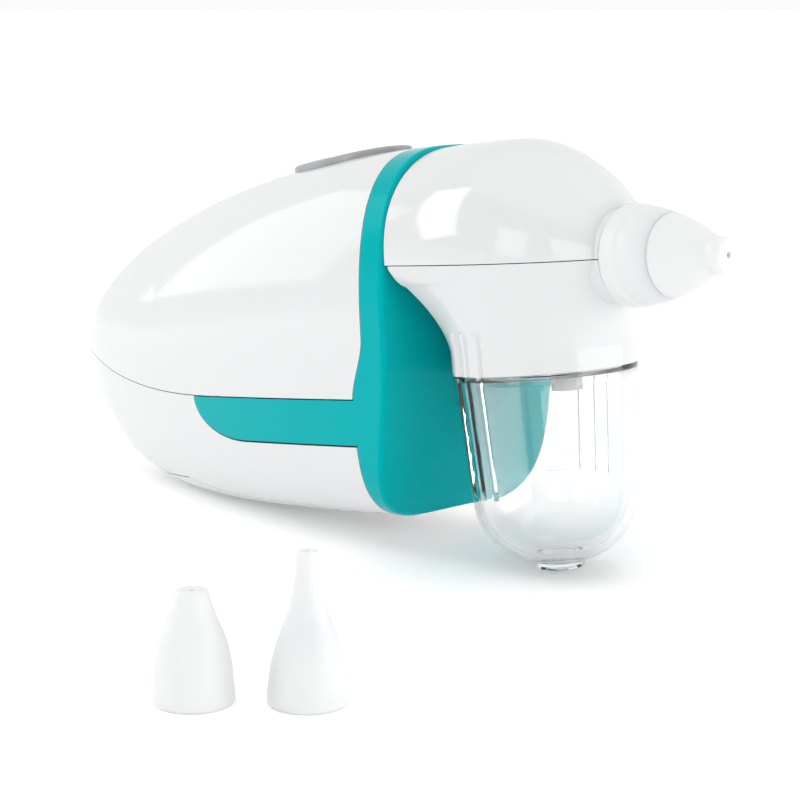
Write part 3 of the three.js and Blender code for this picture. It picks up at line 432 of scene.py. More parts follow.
def body_sizes(x, inset=0.0):
    """Half width, top, bottom, parting line and the two exponents of the section at x."""
    u = along(np.asarray(x, float), inset)
    w = (HALF_WIDTH - inset) * fade(u, 2.0, 1.88)
    top = TAIL_Z + (TOP - inset - TAIL_Z) * fade(u, 2.05, 1.8)
    bottom = TAIL_Z + (BOTTOM + inset - TAIL_Z) * fade(u, 5.1, 1.23)
    parting = np.minimum(np.maximum(parting_level(u), mix(bottom, top, 0.02)), mix(bottom, top, 0.98))
    square = clamp01(u * 1.6)
    return np.maximum(w, 1e-3), top, bottom, parting, mix(3.0, 2.15, square), mix(4.0, 3.5, square)


def body_point(x, phi, inset=0.0):
    """The point of the section at x in direction phi."""
    w, top, bottom, parting, upper, lower = body_sizes(x, inset)
    above = np.sin(phi) >= 0.0
    h = np.maximum(np.where(above, top - parting, parting - bottom), 1e-3)
    r = reach(phi, w, h, np.where(above, upper, lower))
    return np.stack([np.broadcast_to(x, r.shape), r * np.cos(phi), parting + r * np.sin(phi)], axis=-1)


def body_level(points):
    """Zero on the body's form, negative inside it."""
    w, top, bottom, parting, upper, lower = body_sizes(points[:, 0])
    rise = points[:, 2] - parting
    h = np.maximum(np.where(rise >= 0.0, top - parting, parting - bottom), 1e-3)
    n = np.where(rise >= 0.0, upper, lower)
    return ((np.abs(points[:, 1]) / w) ** n + (np.abs(rise) / h) ** n) ** (1.0 / n) - 1.0


def even_directions(count):
    """Directions round a ring, a little closer together at the four corners of the section."""
    steps = np.arange(count) * 2.0 * np.pi / count
    return steps - 0.12 * np.sin(4.0 * steps)


RING = even_directions(176)


def body_form(front_x, inset, stations=84):
    rings = []
    for i in range(stations):
        t = 1.0 - (1.0 - i / stations) ** 1.7
        rings.append(body_point(mix(front_x, TAIL_X + inset, t), RING, inset))
    form = skin("body", capped(rings))
    flat = FLAT_Z + inset
    return without(form, block(-200, 60, -40, 40, flat - 20, flat))


def parting_half(side):
    """Everything above (side = 1) or below (side = -1) the parting line."""
    line = [(0.0, PARTING + side * SEAM / 2)]
    line += [(x, parting_level(along(x)) + side * SEAM / 2) for x in np.linspace(-68.0, TAIL_X - 5.0, 70)]
    return side_plate([*line, (TAIL_X - 5.0, side * 60.0), (0.0, side * 60.0)], -40, 40)


def wing_region(front_x, grow):
    """The band's side wing: a strip under the parting line with a quarter-ellipse end."""
    high = PARTING - GAP / 2 + grow
    low = WING_LOW - grow
    outline = [(front_x, high), (front_x, low), (WING_STRAIGHT, low)]
    for angle in np.linspace(0.0, math.pi / 2, 33)[1:]:
        outline.append((WING_STRAIGHT + (WING_TIP - grow - WING_STRAIGHT) * math.sin(angle),
                        high + (low - high) * math.cos(angle)))
    return side_plate(outline, -40, 40)


def band_front(z):
    """Side view of the band's front edge, which leans back low down."""
    return BAND_FRONT - BAND_LEAN * np.maximum(0.0, LEAN_FROM - z) ** 1.85


def band_rear(z):
    """Side view of the band's rear edge, which steps back on its way down."""
    t = clamp01((STEP_FROM - z) / STEP_OVER)
    return BAND_REAR - BAND_STEP * t * t * (3.0 - 2.0 * t)


def behind(curve, shift):
    """Everything behind a side-view curve x(z), shifted back."""
    levels = np.arange(12.0, -28.1, -0.5)
    outline = [(-200, -40), (-200, 60), (curve(60.0) - shift, 60)]
    outline += [(curve(z) - shift, z) for z in levels]
    outline.append((curve(levels[-1]) - shift, -40))
    return side_plate(outline, -60, 60)


body_outer = body_form(BAND_FRONT + 1.0, 0.0)
body_inner = body_form(BAND_FRONT + 2.0, WALL)
body_shell = boolean(copy_of(body_outer), body_inner)
casing_shell = within(copy_of(body_shell), behind(band_rear, GAP))


# ---------------------------------------------------------------- casing and door
def button_outline(grow):
    """The rocker's outline in plan, grown by a distance."""
    return [(BUTTON_X + r * math.cos(a), r * math.sin(a))
            for a in around(96)
            for r in [reach(a, BUTTON_HALF_LENGTH + grow, BUTTON_HALF_WIDTH + grow, BUTTON_SQUARE)]]


upper = within(copy_of(casing_shell), parting_half(1))
upper = without(upper, plan_plate(button_outline(BUTTON_ROOM), 30, 60))
piece(polish(upper, body_level), "upper_casing_skin", ["upper_casing"], "casing", "white_shell")

lower = within(copy_of(casing_shell), parting_half(-1))
lower = without(lower, wing_region(0.0, GAP),
                block(-200, DOOR_FRONT, -DOOR_HALF_WIDTH, DOOR_HALF_WIDTH, -60, DOOR_TOP))
for side in (-1, 1):
    y = side * SCREW_Y
    boss = turned("boss", [(0, BOSS_FOOT_Z), (BOSS_RADIUS, BOSS_FOOT_Z), (BOSS_RADIUS, SCREW_SEAT_Z + 2),
                           (BOSS_NECK_RADIUS, SCREW_SEAT_Z + 2), (BOSS_NECK_RADIUS, PARTING - 0.5),
                           (0, PARTING - 0.5)], around(40))
    boss.data.transform(Matrix.Translation((SCREW_X, y, 0)))
    boss = within(boss, body_form(BAND_FRONT + 1.0, 0.6, stations=30), behind(band_rear, GAP))
    lower = joined(lower, boss)
    lower = without(lower, disc(SCREW_HEAD_ROOM, -30, SCREW_SEAT_Z, SCREW_X, y),
                    disc(SCREW_SHANK_ROOM, -24, 0, SCREW_X, y))
piece(polish(lower, body_level), "lower_casing_skin", ["lower_casing"], "casing", "white_shell")

door = within(copy_of(casing_shell), block(-200, DOOR_FRONT - GAP, -DOOR_HALF_WIDTH + GAP,
                                           DOOR_HALF_WIDTH - GAP, -60, DOOR_TOP - SEAM))
for x in DOOR_GRIPS_X:
    door = without(door, block(x - DOOR_GRIP_HALF, x + DOOR_GRIP_HALF, -DOOR_GRIP_REACH, DOOR_GRIP_REACH,
                               FLAT_Z - 1, FLAT_Z + 0.6))
piece(polish(door, body_level), "battery_door_skin", ["battery_door"], "door", "white_shell")


# ---------------------------------------------------------------- band, front face and wings
def band_ring(edge, back, inset=0.0):
    """Where the body meets a side-view curve x(z), moved back by a distance."""
    x = np.full(RING.shape, edge(0.0) - back)
    for _ in range(30):
        x = edge(body_point(x, RING, inset)[:, 2]) - back
    return body_point(x, RING, inset)


def planed(ring, level=FLAT_Z):
    ring = ring.copy()
    ring[:, 2] = np.maximum(ring[:, 2], level)
    return ring


def towards_axis(ring):
    """Unit directions across the section, inwards."""
    slope = slope_of(body_level, ring)
    slope[:, 0] = 0.0
    return -slope / np.linalg.norm(slope, axis=1, keepdims=True)


PLATE_MIDDLE_Z = 7.0                                 # height where the front plate's rings close


def front_frame():
    """Rings of the band and its front plate: outside first, then the back and the inside."""
    rear = band_ring(band_rear, 0.0)
    ridge = band_ring(band_front, RIDGE)
    inwards = towards_axis(ridge)
    rings = []
    for t in np.linspace(0.0, 1.0, 9):
        x = mix(rear[:, 0], ridge[:, 0], t)
        rings.append(planed(body_point(x, RING)))
    for angle in np.linspace(0.0, math.pi / 2, 7)[1:]:
        x = ridge[:, 0] + RIDGE * math.sin(angle)
        ring = body_point(np.minimum(x, band_front(ridge[:, 2])), RING)
        rings.append(planed(ring + inwards * RIDGE * (1.0 - math.cos(angle))))
    middle = np.array([0.0, 0.0, PLATE_MIDDLE_Z])
    edge = rings[-1]
    for s in np.linspace(1.0, 0.0, 24)[1:-1]:
        ring = middle + (edge - middle) * s
        ring[:, 0] = band_front(ring[:, 2])
        rings.append(ring)
    inner_rear = planed(band_ring(band_rear, 0.0, WALL), FLAT_Z + WALL)
    inner_front = planed(band_ring(band_front, BAND_PLATE, WALL), FLAT_Z + WALL)
    rings.append([np.array([band_front(middle[2]), 0.0, middle[2]])])
    back = []
    for s in np.linspace(1.0, 0.0, 16)[1:-1]:
        ring = middle + (inner_front - middle) * s
        ring[:, 0] = band_front(ring[:, 2]) - BAND_PLATE
        back.append(ring)
    rings.append([np.array([band_front(middle[2]) - BAND_PLATE, 0.0, middle[2]])])
    rings.extend(reversed(back))
    rings.append(inner_front)
    rings.append(inner_rear)
    rings.append(rings[0])
    return rings


def frame_solid():
    """The closed solid over the frame's rings; both rings of one point are hubs of fans."""
    rings = front_frame()
    split = next(i for i, ring in enumerate(rings) if len(ring) == 1)
    outside, inside = rings[:split + 1], rings[split + 1:]
    points = []
    starts = []
    for ring in outside + inside[:-1]:
        starts.append(len(points))
        points.extend(ring)
    count = len(RING)
    faces = []

    def strip(a, b):
        faces.extend((a + j, a + (j + 1) % count, b + (j + 1) % count, b + j) for j in range(count))

    for i in range(split - 1):
        strip(starts[i], starts[i + 1])
    hub = starts[split]
    faces.extend((starts[split - 1] + j, starts[split - 1] + (j + 1) % count, hub) for j in range(count))
    hub = starts[split + 1]
    faces.extend((hub, starts[split + 2] + (j + 1) % count, starts[split + 2] + j) for j in range(count))
    for i in range(split + 2, len(starts) - 1):
        strip(starts[i], starts[i + 1])
    strip(starts[-1], starts[0])
    return solid("frame", points, faces)


wings = within(copy_of(body_shell), behind(band_rear, -0.2), wing_region(BAND_REAR, 0.0))
front = joined(frame_solid(), wings)
front = without(front, disc(MOTOR_PORT_RADIUS, -30, 0, 0, 0, MOTOR_Z, "X"))
piece(polish(front, body_level), "front_frame_skin", ["front_frame"], "casing", "teal_shell")


# ---------------------------------------------------------------- head shells
def head_half_width(x):
    v = clamp01((x - HEAD_REAR) / (HEAD_FRONT - HEAD_REAR))
    return HEAD_HALF_WIDTH * fade(v, 2.3, 1.9)


def head_sizes(x, inset=0.0):
    """Half width, height and exponent of the dome's section at x."""
    v = clamp01((x - HEAD_REAR) / (HEAD_FRONT - inset - HEAD_REAR))
    w = np.maximum(0.03, (HEAD_HALF_WIDTH - inset) * fade(v, 2.3, 1.9))
    fore = clamp01((v - HEAD_CROWN) / (1.0 - HEAD_CROWN))
    aft = clamp01(1.0 - v / HEAD_CROWN)
    arch = fade(fore, 1.91, 1.38) * (1.0 - HEAD_REAR_DIP * aft * aft)
    h = np.maximum(0.03, (HEAD_TOP - inset - HEAD_PARTING) * arch)
    return w, h, mix(2.18, 1.9, v)


def head_level(points):
    """Zero on the dome, negative inside it."""
    angle = math.radians(-HEAD_DROOP)
    x = points[:, 0] * math.cos(angle) + (points[:, 2] - HEAD_PARTING) * math.sin(angle)
    z = -points[:, 0] * math.sin(angle) + (points[:, 2] - HEAD_PARTING) * math.cos(angle)
    w, h, n = head_sizes(x)
    return ((np.abs(points[:, 1]) / w) ** n + (np.maximum(z, 0.0) / h) ** n) ** (1.0 / n) - 1.0


def head_form(rear_x, inset, floor_z, stations=56, count=96):
    """The dome, filled down to floor_z."""
    rings = []
    for i in range(stations):
        t = 1.0 - (1.0 - i / stations) ** 1.8
        x = mix(rear_x, HEAD_FRONT - inset, t)
        w, h, n = head_sizes(x, inset)
        phi = np.linspace(0.0, math.pi, count + 1)
        r = reach(phi, w, h, n)
        ring = np.stack([np.full(phi.shape, x), r * np.cos(phi), HEAD_PARTING + r * np.sin(phi)], axis=-1)
        rings.append([*ring, np.array([x, -w, floor_z]), np.array([x, w, floor_z])])
    return drooped(skin("head", capped(rings)))


def nozzle_boss(side):
    """The upper or lower half of the round boss behind the collar."""
    boss = disc(COLLAR_RADIUS - 0.5, SEAT_X - 4.3, SEAT_X, z=HEAD_PARTING, axis="X", count=96)
    low, high = (SEAM / 2, 30.0) if side > 0 else (-30.0, -SEAM / 2)
    return drooped(within(boss, block(0, 60, -20, 20, HEAD_PARTING + low, HEAD_PARTING + high)))


def nozzle_room():
    """What the collar and the nozzle's socket take out of the head."""
    return [drooped(disc(COLLAR_RADIUS + 0.35, SEAT_X, 60, z=HEAD_PARTING, axis="X", count=96)),
            drooped(disc(TUBE_RADIUS + GAP, 10, 60, z=HEAD_PARTING, axis="X"))]


head_upper = without(head_form(HEAD_REAR - 2, 0.0, HEAD_PARTING - 3),
                     head_form(HEAD_REAR - 4, THIN_WALL, HEAD_PARTING - 5))
head_upper = within(head_upper, drooped(block(-60, 60, -40, 40, HEAD_PARTING + SEAM / 2, 80)),
                    block(HEAD_REAR, 80, -60, 60, -60, 80))
head_upper = without(joined(head_upper, nozzle_boss(1)), *nozzle_room())
piece(polish(head_upper, head_level), "head_dome", ["head_upper_shell"], "casing", "white_shell")


def plan_reach(angle, inset=0.0):
    """Distance from the cup's axis to the head's plan outline."""
    low, high = np.zeros_like(angle), np.full_like(angle, 40.0)
    for _ in range(40):
        r = (low + high) / 2
        x = r * np.cos(angle)
        outside = ((x < HEAD_REAR + inset) | (x > HEAD_FRONT - inset)
                   | (np.abs(r * np.sin(angle)) > head_half_width(x) - inset))
        high = np.where(outside, r, high)
        low = np.where(outside, low, r)
    return low


FUNNEL_FROM = 3.5                                    # the skirt is a plain cylinder up to here
KNEE, ABOVE_KNEE = 0.8, 0.2                          # shares of the height below and above the knee
KNEE_SPREAD = 0.72                                   # share of the spread reached at the knee


def funnel_spread(z):
    """0 where the skirt is as wide as the cup, 1 where it is as wide as the head."""
    t = clamp01((z - FUNNEL_FROM) / (HEAD_PARTING - FUNNEL_FROM))
    early = KNEE_SPREAD * (t / KNEE) ** 1.7
    late = mix(KNEE_SPREAD, 1.0, clamp01((t - KNEE) / ABOVE_KNEE) ** 0.6)
    return np.where(t < KNEE, early, late)


def funnel_level(points):
    """Zero on the skirt, negative inside it."""
    angle = np.arctan2(points[:, 1], points[:, 0])
    limit = mix(CUP_RADIUS, plan_reach(angle), funnel_spread(points[:, 2]))
    return np.hypot(points[:, 0], points[:, 1]) / limit - 1.0


RIB_X, RIB_STEP, RIB_HALF, RIB_PROUD = -3.3, 3.2, 0.75, 0.5   # three grip ribs on each side
RIB_EDGE, RIB_END = 0.4, 0.8                         # how softly they rise across and at their ends
SKIRT_RIBS, CUP_RIBS = (-2.0, 8.0), (-20.5, 0.6)     # the levels that they run between


def rib_height(radius, angle, level, low, high):
    """How far the grip ribs stand out at this place, between two levels."""
    offset = radius * np.cos(angle) - RIB_X
    nearest = np.abs(offset - RIB_STEP * np.clip(np.round(offset / RIB_STEP), -1, 1))
    across = clamp01((RIB_HALF - nearest) / RIB_EDGE)
    ends = clamp01((level - low) / RIB_END) * clamp01((high - level) / RIB_END)
    return RIB_PROUD * across ** 0.7 * ends ** 0.6


def ribbed_angles():
    """Directions round the cup, closer together where the grip ribs are."""
    angles = list(np.radians(np.arange(0.0, 360.0, 2.5)))
    dense = np.radians(np.arange(-19.0, 19.01, 0.4))
    lean = math.asin(-RIB_X / CUP_RADIUS)
    for centre in (math.pi / 2 + lean, 3 * math.pi / 2 - lean):
        angles = [a for a in angles if abs(a - centre) > math.radians(19.5)]
        angles.extend(centre + dense)
    return np.array(sorted(angles))


RIBBED = ribbed_angles()


def funnel_form(inset, low, high, levels, ribs=False):
    rings = []
    for z in np.linspace(low, high, levels):
        r = mix(CUP_RADIUS - inset, plan_reach(RIBBED, inset), funnel_spread(z))
        if ribs:
            r = r + rib_height(CUP_RADIUS, RIBBED, z, *SKIRT_RIBS)
        x = np.maximum(r * np.cos(RIBBED), HEAD_REAR + inset)
        rings.append(np.stack([x, r * np.sin(RIBBED), np.full(r.shape, z)], axis=-1))
    return skin("funnel", capped(rings))


head_lower = without(funnel_form(0.0, GAP, HEAD_PARTING + 2, 64, ribs=True),
                     funnel_form(THIN_WALL, -1.0, HEAD_PARTING + 3, 40))
head_lower = within(head_lower, drooped(block(-60, 60, -40, 40, -80, HEAD_PARTING - SEAM / 2)))
ledge = within(disc(20, NECK_HEIGHT + 2 * GAP, NECK_HEIGHT + 2 * GAP + 1.4, count=96),
               funnel_form(THIN_WALL / 2, -1.0, HEAD_PARTING + 3, 30))
head_lower = joined(head_lower, without(ledge, disc(NECK_RADIUS - CUP_WALL, -20, 20, count=96)))
head_lower = without(joined(head_lower, nozzle_boss(-1)), *nozzle_room(),
                     disc(MOTOR_PORT_RADIUS, -30, -10, 0, 0, MOTOR_Z, "X"))
piece(polish(head_lower, funnel_level), "head_skirt", ["head_lower_shell"], "casing", "white_shell")


# ---------------------------------------------------------------- clear cup
def cup_curve(inset, count=40):
    """The cup's side and round bottom, from the bottom's middle up to the rim."""
    radius = CUP_RADIUS + CUP_TAPER * CUP_ROUND_FROM - inset
    depth = -CUP_DEPTH + FOOT_HEIGHT + inset
    curve = []
    for angle in np.linspace(0.0, math.pi / 2, count):
        curve.append((radius * math.sin(angle) ** CUP_FULLNESS,
                      CUP_ROUND_FROM + (depth - CUP_ROUND_FROM) * max(0.0, math.cos(angle)) ** CUP_FULLNESS))
    for z in np.linspace(CUP_ROUND_FROM, 0.0, 26)[1:]:
        curve.append((CUP_RADIUS + CUP_TAPER * z - inset, z))
    return curve


def cup_profile():
    """The whole cup's section: foot, outside, rim, neck, then back down the inside."""
    floor = -CUP_DEPTH
    outside = [(r, z) for r, z in cup_curve(0.0) if r > FOOT_RADIUS + 0.15 and z < -0.35]
    inside = [(r, z) for r, z in cup_curve(CUP_WALL) if z < -SHOULDER - 0.6]
    foot = [(0, floor + 0.45), (FOOT_RADIUS - 1.5, floor + 0.45), (FOOT_RADIUS - 1.25, floor + 0.1),
            (FOOT_RADIUS - 1.0, floor), (FOOT_RADIUS - 0.2, floor), (FOOT_RADIUS, floor + 0.2),
            (FOOT_RADIUS + 0.05, floor + 0.65)]
    bore = NECK_RADIUS - CUP_WALL
    rim = GAP - SEAM
    neck = [(CUP_RADIUS, rim - 0.3), (CUP_RADIUS - 0.08, rim - 0.08), (CUP_RADIUS - 0.3, rim),
            (NECK_RADIUS + 0.4, rim), (NECK_RADIUS + 0.1, rim + 0.1), (NECK_RADIUS, rim + 0.4),
            (NECK_RADIUS, NECK_HEIGHT - 0.3), (NECK_RADIUS - 0.3, NECK_HEIGHT),
            (bore + 0.3, NECK_HEIGHT), (bore, NECK_HEIGHT - 0.3),
            (bore, -SHOULDER + 0.3), (bore + 0.3, -SHOULDER), (inside[-1][0] - 0.6, -SHOULDER - 0.05),
            (inside[-1][0] - 0.1, -SHOULDER - 0.3)]
    return [*foot, *outside, *neck, *reversed(inside[1:]), (0, inside[0][1])]


def cup_ribs(radius, level, angle):
    """The skirt's ribs carried on down the outside of the cup."""
    outer = CUP_RADIUS + CUP_TAPER * level
    on_outside = abs(radius - outer) < 0.05 and CUP_RIBS[0] - 1.0 < level < 0.0
    return float(rib_height(outer, angle, level, *CUP_RIBS)) if on_outside else 0.0


GRADUATION_PROUD = 0.28
GRADUATIONS = [(-12.6, -39.0, 16.0), (-16.0, -43.0, 14.5)]   # level, middle and width in degrees


def graduation(level, centre, spread):
    """A short raised line round the outside of the cup; angles in degrees from +X."""
    radius = CUP_RADIUS + CUP_TAPER * level
    proud = radius + GRADUATION_PROUD
    line = turned("graduation", [(radius - 0.5, level - 0.2), (proud, level - 0.1),
                                 (proud, level + 0.1), (radius - 0.5, level + 0.2)],
                  around(240), closed=True)
    ends = [math.radians(centre + side * spread / 2) for side in (-1, 1)]
    return within(line, plan_plate([(0.0, 0.0), *[(30.0 * math.cos(a), 30.0 * math.sin(a)) for a in ends]],
                                   level - 2.0, level + 2.0))


cup = turned("cup", cup_profile(), RIBBED, grow=cup_ribs)
cup = joined(cup, *[graduation(*mark) for mark in GRADUATIONS])
cup = smooth(cup, 40.0)
piece(cup, "collection_cup_clear", ["collection_cup"], "cup", "clear_cup")


# ---------------------------------------------------------------- pieces seen through the cup
def smooth_path(points, per=10):
    """A Catmull-Rom curve through points."""
    points = [np.array(point, float) for point in points]
    ends = [2 * points[0] - points[1], *points, 2 * points[-1] - points[-2]]
    path = []
    for a, b, c, d in zip(ends, ends[1:], ends[2:], ends[3:]):
        for t in np.linspace(0.0, 1.0, per, endpoint=False):
            path.append(0.5 * (2 * b + (c - a) * t + (2 * a - 5 * b + 4 * c - d) * t * t
                               + (3 * b - a - 3 * c + d) * t ** 3))
    path.append(points[-1])
    return path


def hollow_sweep(name, path, outer, inner, count=32):
    """A tube along a path in the plane y = 0."""
    rings = [[], []]
    for i, point in enumerate(path):
        way = path[min(i + 1, len(path) - 1)] - path[max(i - 1, 0)]
        way = way / np.linalg.norm(way)
        across = np.cross(way, Y_AXIS)
        for ring, radius in zip(rings, (outer, inner)):
            ring.append([point + radius * (math.cos(a) * across + math.sin(a) * Y_AXIS)
                         for a in around(count)])
    loop = [*rings[0], *reversed(rings[1]), rings[0][0]]
    return welded(skin(name, loop))


elbow_z = HEAD_PARTING - 0.35
drip_path = smooth_path([(DRIP_X, 0, DRIP_LOW), (DRIP_X, 0, 4), (DRIP_X, 0, 10), (DRIP_X + 1.2, 0, 15.6),
                         (10.2, 0, elbow_z), (11.8, 0, elbow_z)])
drip = smooth(hollow_sweep("drip", drip_path, DRIP_RADIUS, BORE_RADIUS))
piece(drip, "drip_tube_smooth", ["drip_tube"], "casing", "inner_white")

SEAL_INNER, SEAL_OUTER = NECK_RADIUS + 0.2, NECK_RADIUS + 0.95
seal_profile = [(SEAL_INNER, 1.3), (SEAL_INNER + 0.1, 1.2), (SEAL_OUTER - 0.3, 1.2), (SEAL_OUTER, 1.6),
                (SEAL_OUTER, 2.6), (SEAL_OUTER - 0.3, 3.0), (SEAL_INNER + 0.1, 3.0), (SEAL_INNER, 2.9)]
seal = smooth(turned("seal", seal_profile, around(96), closed=True))
piece(seal, "cup_seal_ring", ["cup_seal"], "casing", "silicone")


# ---------------------------------------------------------------- nozzle collar and tips
NOZZLE = DEVICE @ (Matrix.Translation((0, 0, HEAD_PARTING))
                   @ Matrix.Rotation(math.radians(HEAD_DROOP), 4, "Y"))

collar_rear = SEAT_X + SEAM
front_bore = SEAT_X + 2.0
collar_profile = rounded([
    (TUBE_RADIUS + GAP, front_bore), (TUBE_RADIUS + GAP, collar_rear), (COLLAR_RADIUS - 1.0, collar_rear),
    (COLLAR_RADIUS - 0.1, collar_rear + 0.1), (COLLAR_RADIUS + 0.05, collar_rear + 1.3),
    (COLLAR_RADIUS + 0.05, collar_rear + 2.7), (COLLAR_RADIUS - 0.06, collar_rear + 3.3),
    (COLLAR_RADIUS - 0.34, collar_rear + 3.75), (COLLAR_RADIUS - 0.36, collar_rear + 4.3),
    (COLLAR_RADIUS - 0.42, collar_rear + 5.2), (COLLAR_RADIUS - 0.7, collar_rear + 6.3),
    (COLLAR_RADIUS - 1.1, CREASE_X - 1.2), (COLLAR_BORE + 0.12, CREASE_X - 0.1),
    (COLLAR_BORE, CREASE_X), (COLLAR_BORE, front_bore),
], keep=[(COLLAR_BORE, CREASE_X), (COLLAR_BORE, front_bore)])
collar = smooth(turned("collar", collar_profile, around(128), "X", closed=True), 50.0)
piece(collar, "nozzle_collar_soft", ["nozzle_collar"], "casing", "silicone", place=NOZZLE)

tip_profile = rounded([
    (TIP_RADIUS, front_bore + GAP), (TIP_RADIUS, CREASE_X - 2.2),
    (COLLAR_BORE - 0.03, CREASE_X - 1.6), (COLLAR_BORE - 0.03, CREASE_X),
    (COLLAR_BORE + 0.05, CREASE_X + 0.15), (COLLAR_BORE - 0.05, CREASE_X + 0.7),
    (TIP_RADIUS - 0.35, CREASE_X + 2.0), (TIP_RADIUS - 1.1, CREASE_X + 4.0),
    (TIP_RADIUS - 2.1, CREASE_X + 6.0), (TIP_RADIUS - 3.0, CREASE_X + 7.6),
    (BULB_RADIUS - 0.05, CREASE_X + 8.6), (BULB_RADIUS, CREASE_X + 9.6), (BULB_RADIUS - 0.05, TIP_END - 1.4),
    (BULB_RADIUS - 0.45, TIP_END - 0.35), (BULB_RADIUS - 1.3, TIP_END), (MOUTH + 0.25, TIP_END - 0.05),
    (MOUTH, TIP_END - 0.5), (MOUTH, 38.6), (2.6, 36.0), (SOCKET_RADIUS, 33.4),
    (SOCKET_RADIUS, front_bore + GAP),
], keep=[(COLLAR_BORE - 0.03, CREASE_X), (SOCKET_RADIUS, front_bore + GAP)])
tip = smooth(turned("tip", tip_profile, around(112), "X", closed=True), 50.0)
piece(tip, "nozzle_tip_soft", ["nozzle_tip"], "tip", "silicone", place=NOZZLE)

# Outlines of the spare tips: (share of SPARE_RADIUS, share of the height), from the foot up.
SHORT_OUTLINE = [(0.93, 0.0), (0.985, 0.012), (1.0, 0.05), (1.0, 0.1), (0.975, 0.2), (0.955, 0.3),
                 (0.925, 0.38), (0.87, 0.49), (0.76, 0.61), (0.63, 0.72), (0.51, 0.84), (0.43, 0.94),
                 (0.41, 0.975), (0.36, 1.0)]
LONG_OUTLINE = [(0.93, 0.0), (0.985, 0.01), (1.0, 0.04), (0.985, 0.1), (0.93, 0.22), (0.84, 0.33),
                (0.7, 0.45), (0.54, 0.56), (0.42, 0.66), (0.34, 0.76), (0.285, 0.88), (0.275, 0.965),
                (0.265, 0.985), (0.22, 1.0)]


def spare_tip(name, node, body, outline):
    """A hollow tip standing where its CAD node stands."""
    low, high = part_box(node)
    height = (high.z - low.z) / MM
    outer = [(radius * SPARE_RADIUS, level * height) for radius, level in outline]
    inner = [(MOUTH + 0.25, height - 0.05), (MOUTH, height - 0.5), (MOUTH, height * 0.72),
             (SOCKET_RADIUS, height * 0.45), (SOCKET_RADIUS, 1.0), (SOCKET_RADIUS + 0.6, 0.0)]
    profile = rounded([*outer, *inner], keep=[inner[-1], outer[0]])
    made = smooth(turned(name, profile, around(96), closed=True), 50.0)
    middle = (low + high) / 2
    place = Matrix.Translation((middle.x, middle.y, low.z)) @ Matrix.Scale(MM, 4)
    return piece(made, name, [node], body, "silicone", place=place)


spare_tip("spare_tip_short_soft", "spare_tip_short", "spare_short", SHORT_OUTLINE)
spare_tip("spare_tip_long_soft", "spare_tip_long", "spare_long", LONG_OUTLINE)


# ---------------------------------------------------------------- rocker button
DISH_RADIUS, DISH_RISE = 30.0, 28.9                  # the finger dish, and its centre above the crown
EDGE_DROP, SKIRT_WALL = 0.45, WALL - 0.2
STEM_HALF, STEM_REACH, STEM_TOP = 2.4, 4, 38.6
PIN_ROOM = 1.3


def crown_height(x, y, proud):
    """Height of the body's back, raised by proud, above a place in plan."""
    w, top, bottom, parting, upper, lower = body_sizes(x, -proud)
    return parting + (top - parting) * np.maximum(0.0, 1.0 - (np.abs(y) / w) ** upper) ** (1.0 / upper)


def button_rings():
    """Rings over the dished top, down the rounded edge and back under it."""
    turn = np.array(around(120))
    edge = reach(turn, BUTTON_HALF_LENGTH, BUTTON_HALF_WIDTH, BUTTON_SQUARE)
    dish_centre = TOP + BUTTON_PROUD + DISH_RISE
    rings = []
    for share in [*np.linspace(0.04, 0.9, 20), 0.94, 0.965, 0.985, 1.0]:
        x = BUTTON_X + edge * share * np.cos(turn)
        y = edge * share * np.sin(turn)
        z = crown_height(x, y, BUTTON_PROUD)
        dish = dish_centre - np.sqrt(np.maximum(0.0, DISH_RADIUS ** 2 - (x - BUTTON_X) ** 2))
        z = np.minimum(z, dish)
        rounding = clamp01((share - 0.9) / 0.1)
        z = z - EDGE_DROP * (1.0 - np.sqrt(1.0 - rounding ** 2 + 1e-9))
        rings.append(np.stack([x, y, z], axis=-1))
    skirt = rings[-1].copy()
    skirt[:, 2] = crown_height(skirt[:, 0], skirt[:, 1], -SKIRT_WALL) + 0.05
    rings.append(skirt)
    for share in np.linspace(0.9, 0.1, 9):
        x = BUTTON_X + edge * share * np.cos(turn)
        y = edge * share * np.sin(turn)
        rings.append(np.stack([x, y, crown_height(x, y, -SKIRT_WALL)], axis=-1))
    return rings


button = smooth(skin("button", capped(button_rings())), 50.0)
stem = block(BUTTON_X - STEM_HALF, BUTTON_X + STEM_HALF, -STEM_REACH, STEM_REACH,
             BUTTON_PIVOT_Z - 2, STEM_TOP)
pin_hole = [(BUTTON_X + PIN_ROOM * math.cos(a), BUTTON_PIVOT_Z + PIN_ROOM * math.sin(a)) for a in around(32)]
stem = without(stem, side_plate(pin_hole, -20, 20))
button = smooth(joined(button, stem), 40.0)
piece(button, "power_button_dished", ["power_button"], "button", "grey_key")


# ---------------------------------------------------------------- camera
CAMERA_FROM_CUP = Vector((0.2453, -0.2624, 0.0616))   # from the middle of the cup's rim
CAMERA_AZIMUTH, CAMERA_ELEVATION = math.radians(47.09), math.radians(10.62)
SENSOR_WIDTH, LENS = 36.0, 94.5                       # millimetres
backwards = Vector((math.sin(CAMERA_AZIMUTH) * math.cos(CAMERA_ELEVATION),
                    -math.cos(CAMERA_AZIMUTH) * math.cos(CAMERA_ELEVATION), math.sin(CAMERA_ELEVATION)))
camera_data = bpy.data.cameras.new("camera")
camera_data.sensor_width = SENSOR_WIDTH
camera_data.lens = LENS
camera_data.clip_start = 0.01
camera_data.clip_end = 50.0
camera = bpy.data.objects.new("camera", camera_data)
camera.rotation_mode = "QUATERNION"
camera.location = origin + CAMERA_FROM_CUP
camera.rotation_quaternion = (-backwards).to_track_quat("-Z", "Y")
bpy.context.scene.collection.objects.link(camera)
bpy.context.scene.camera = camera


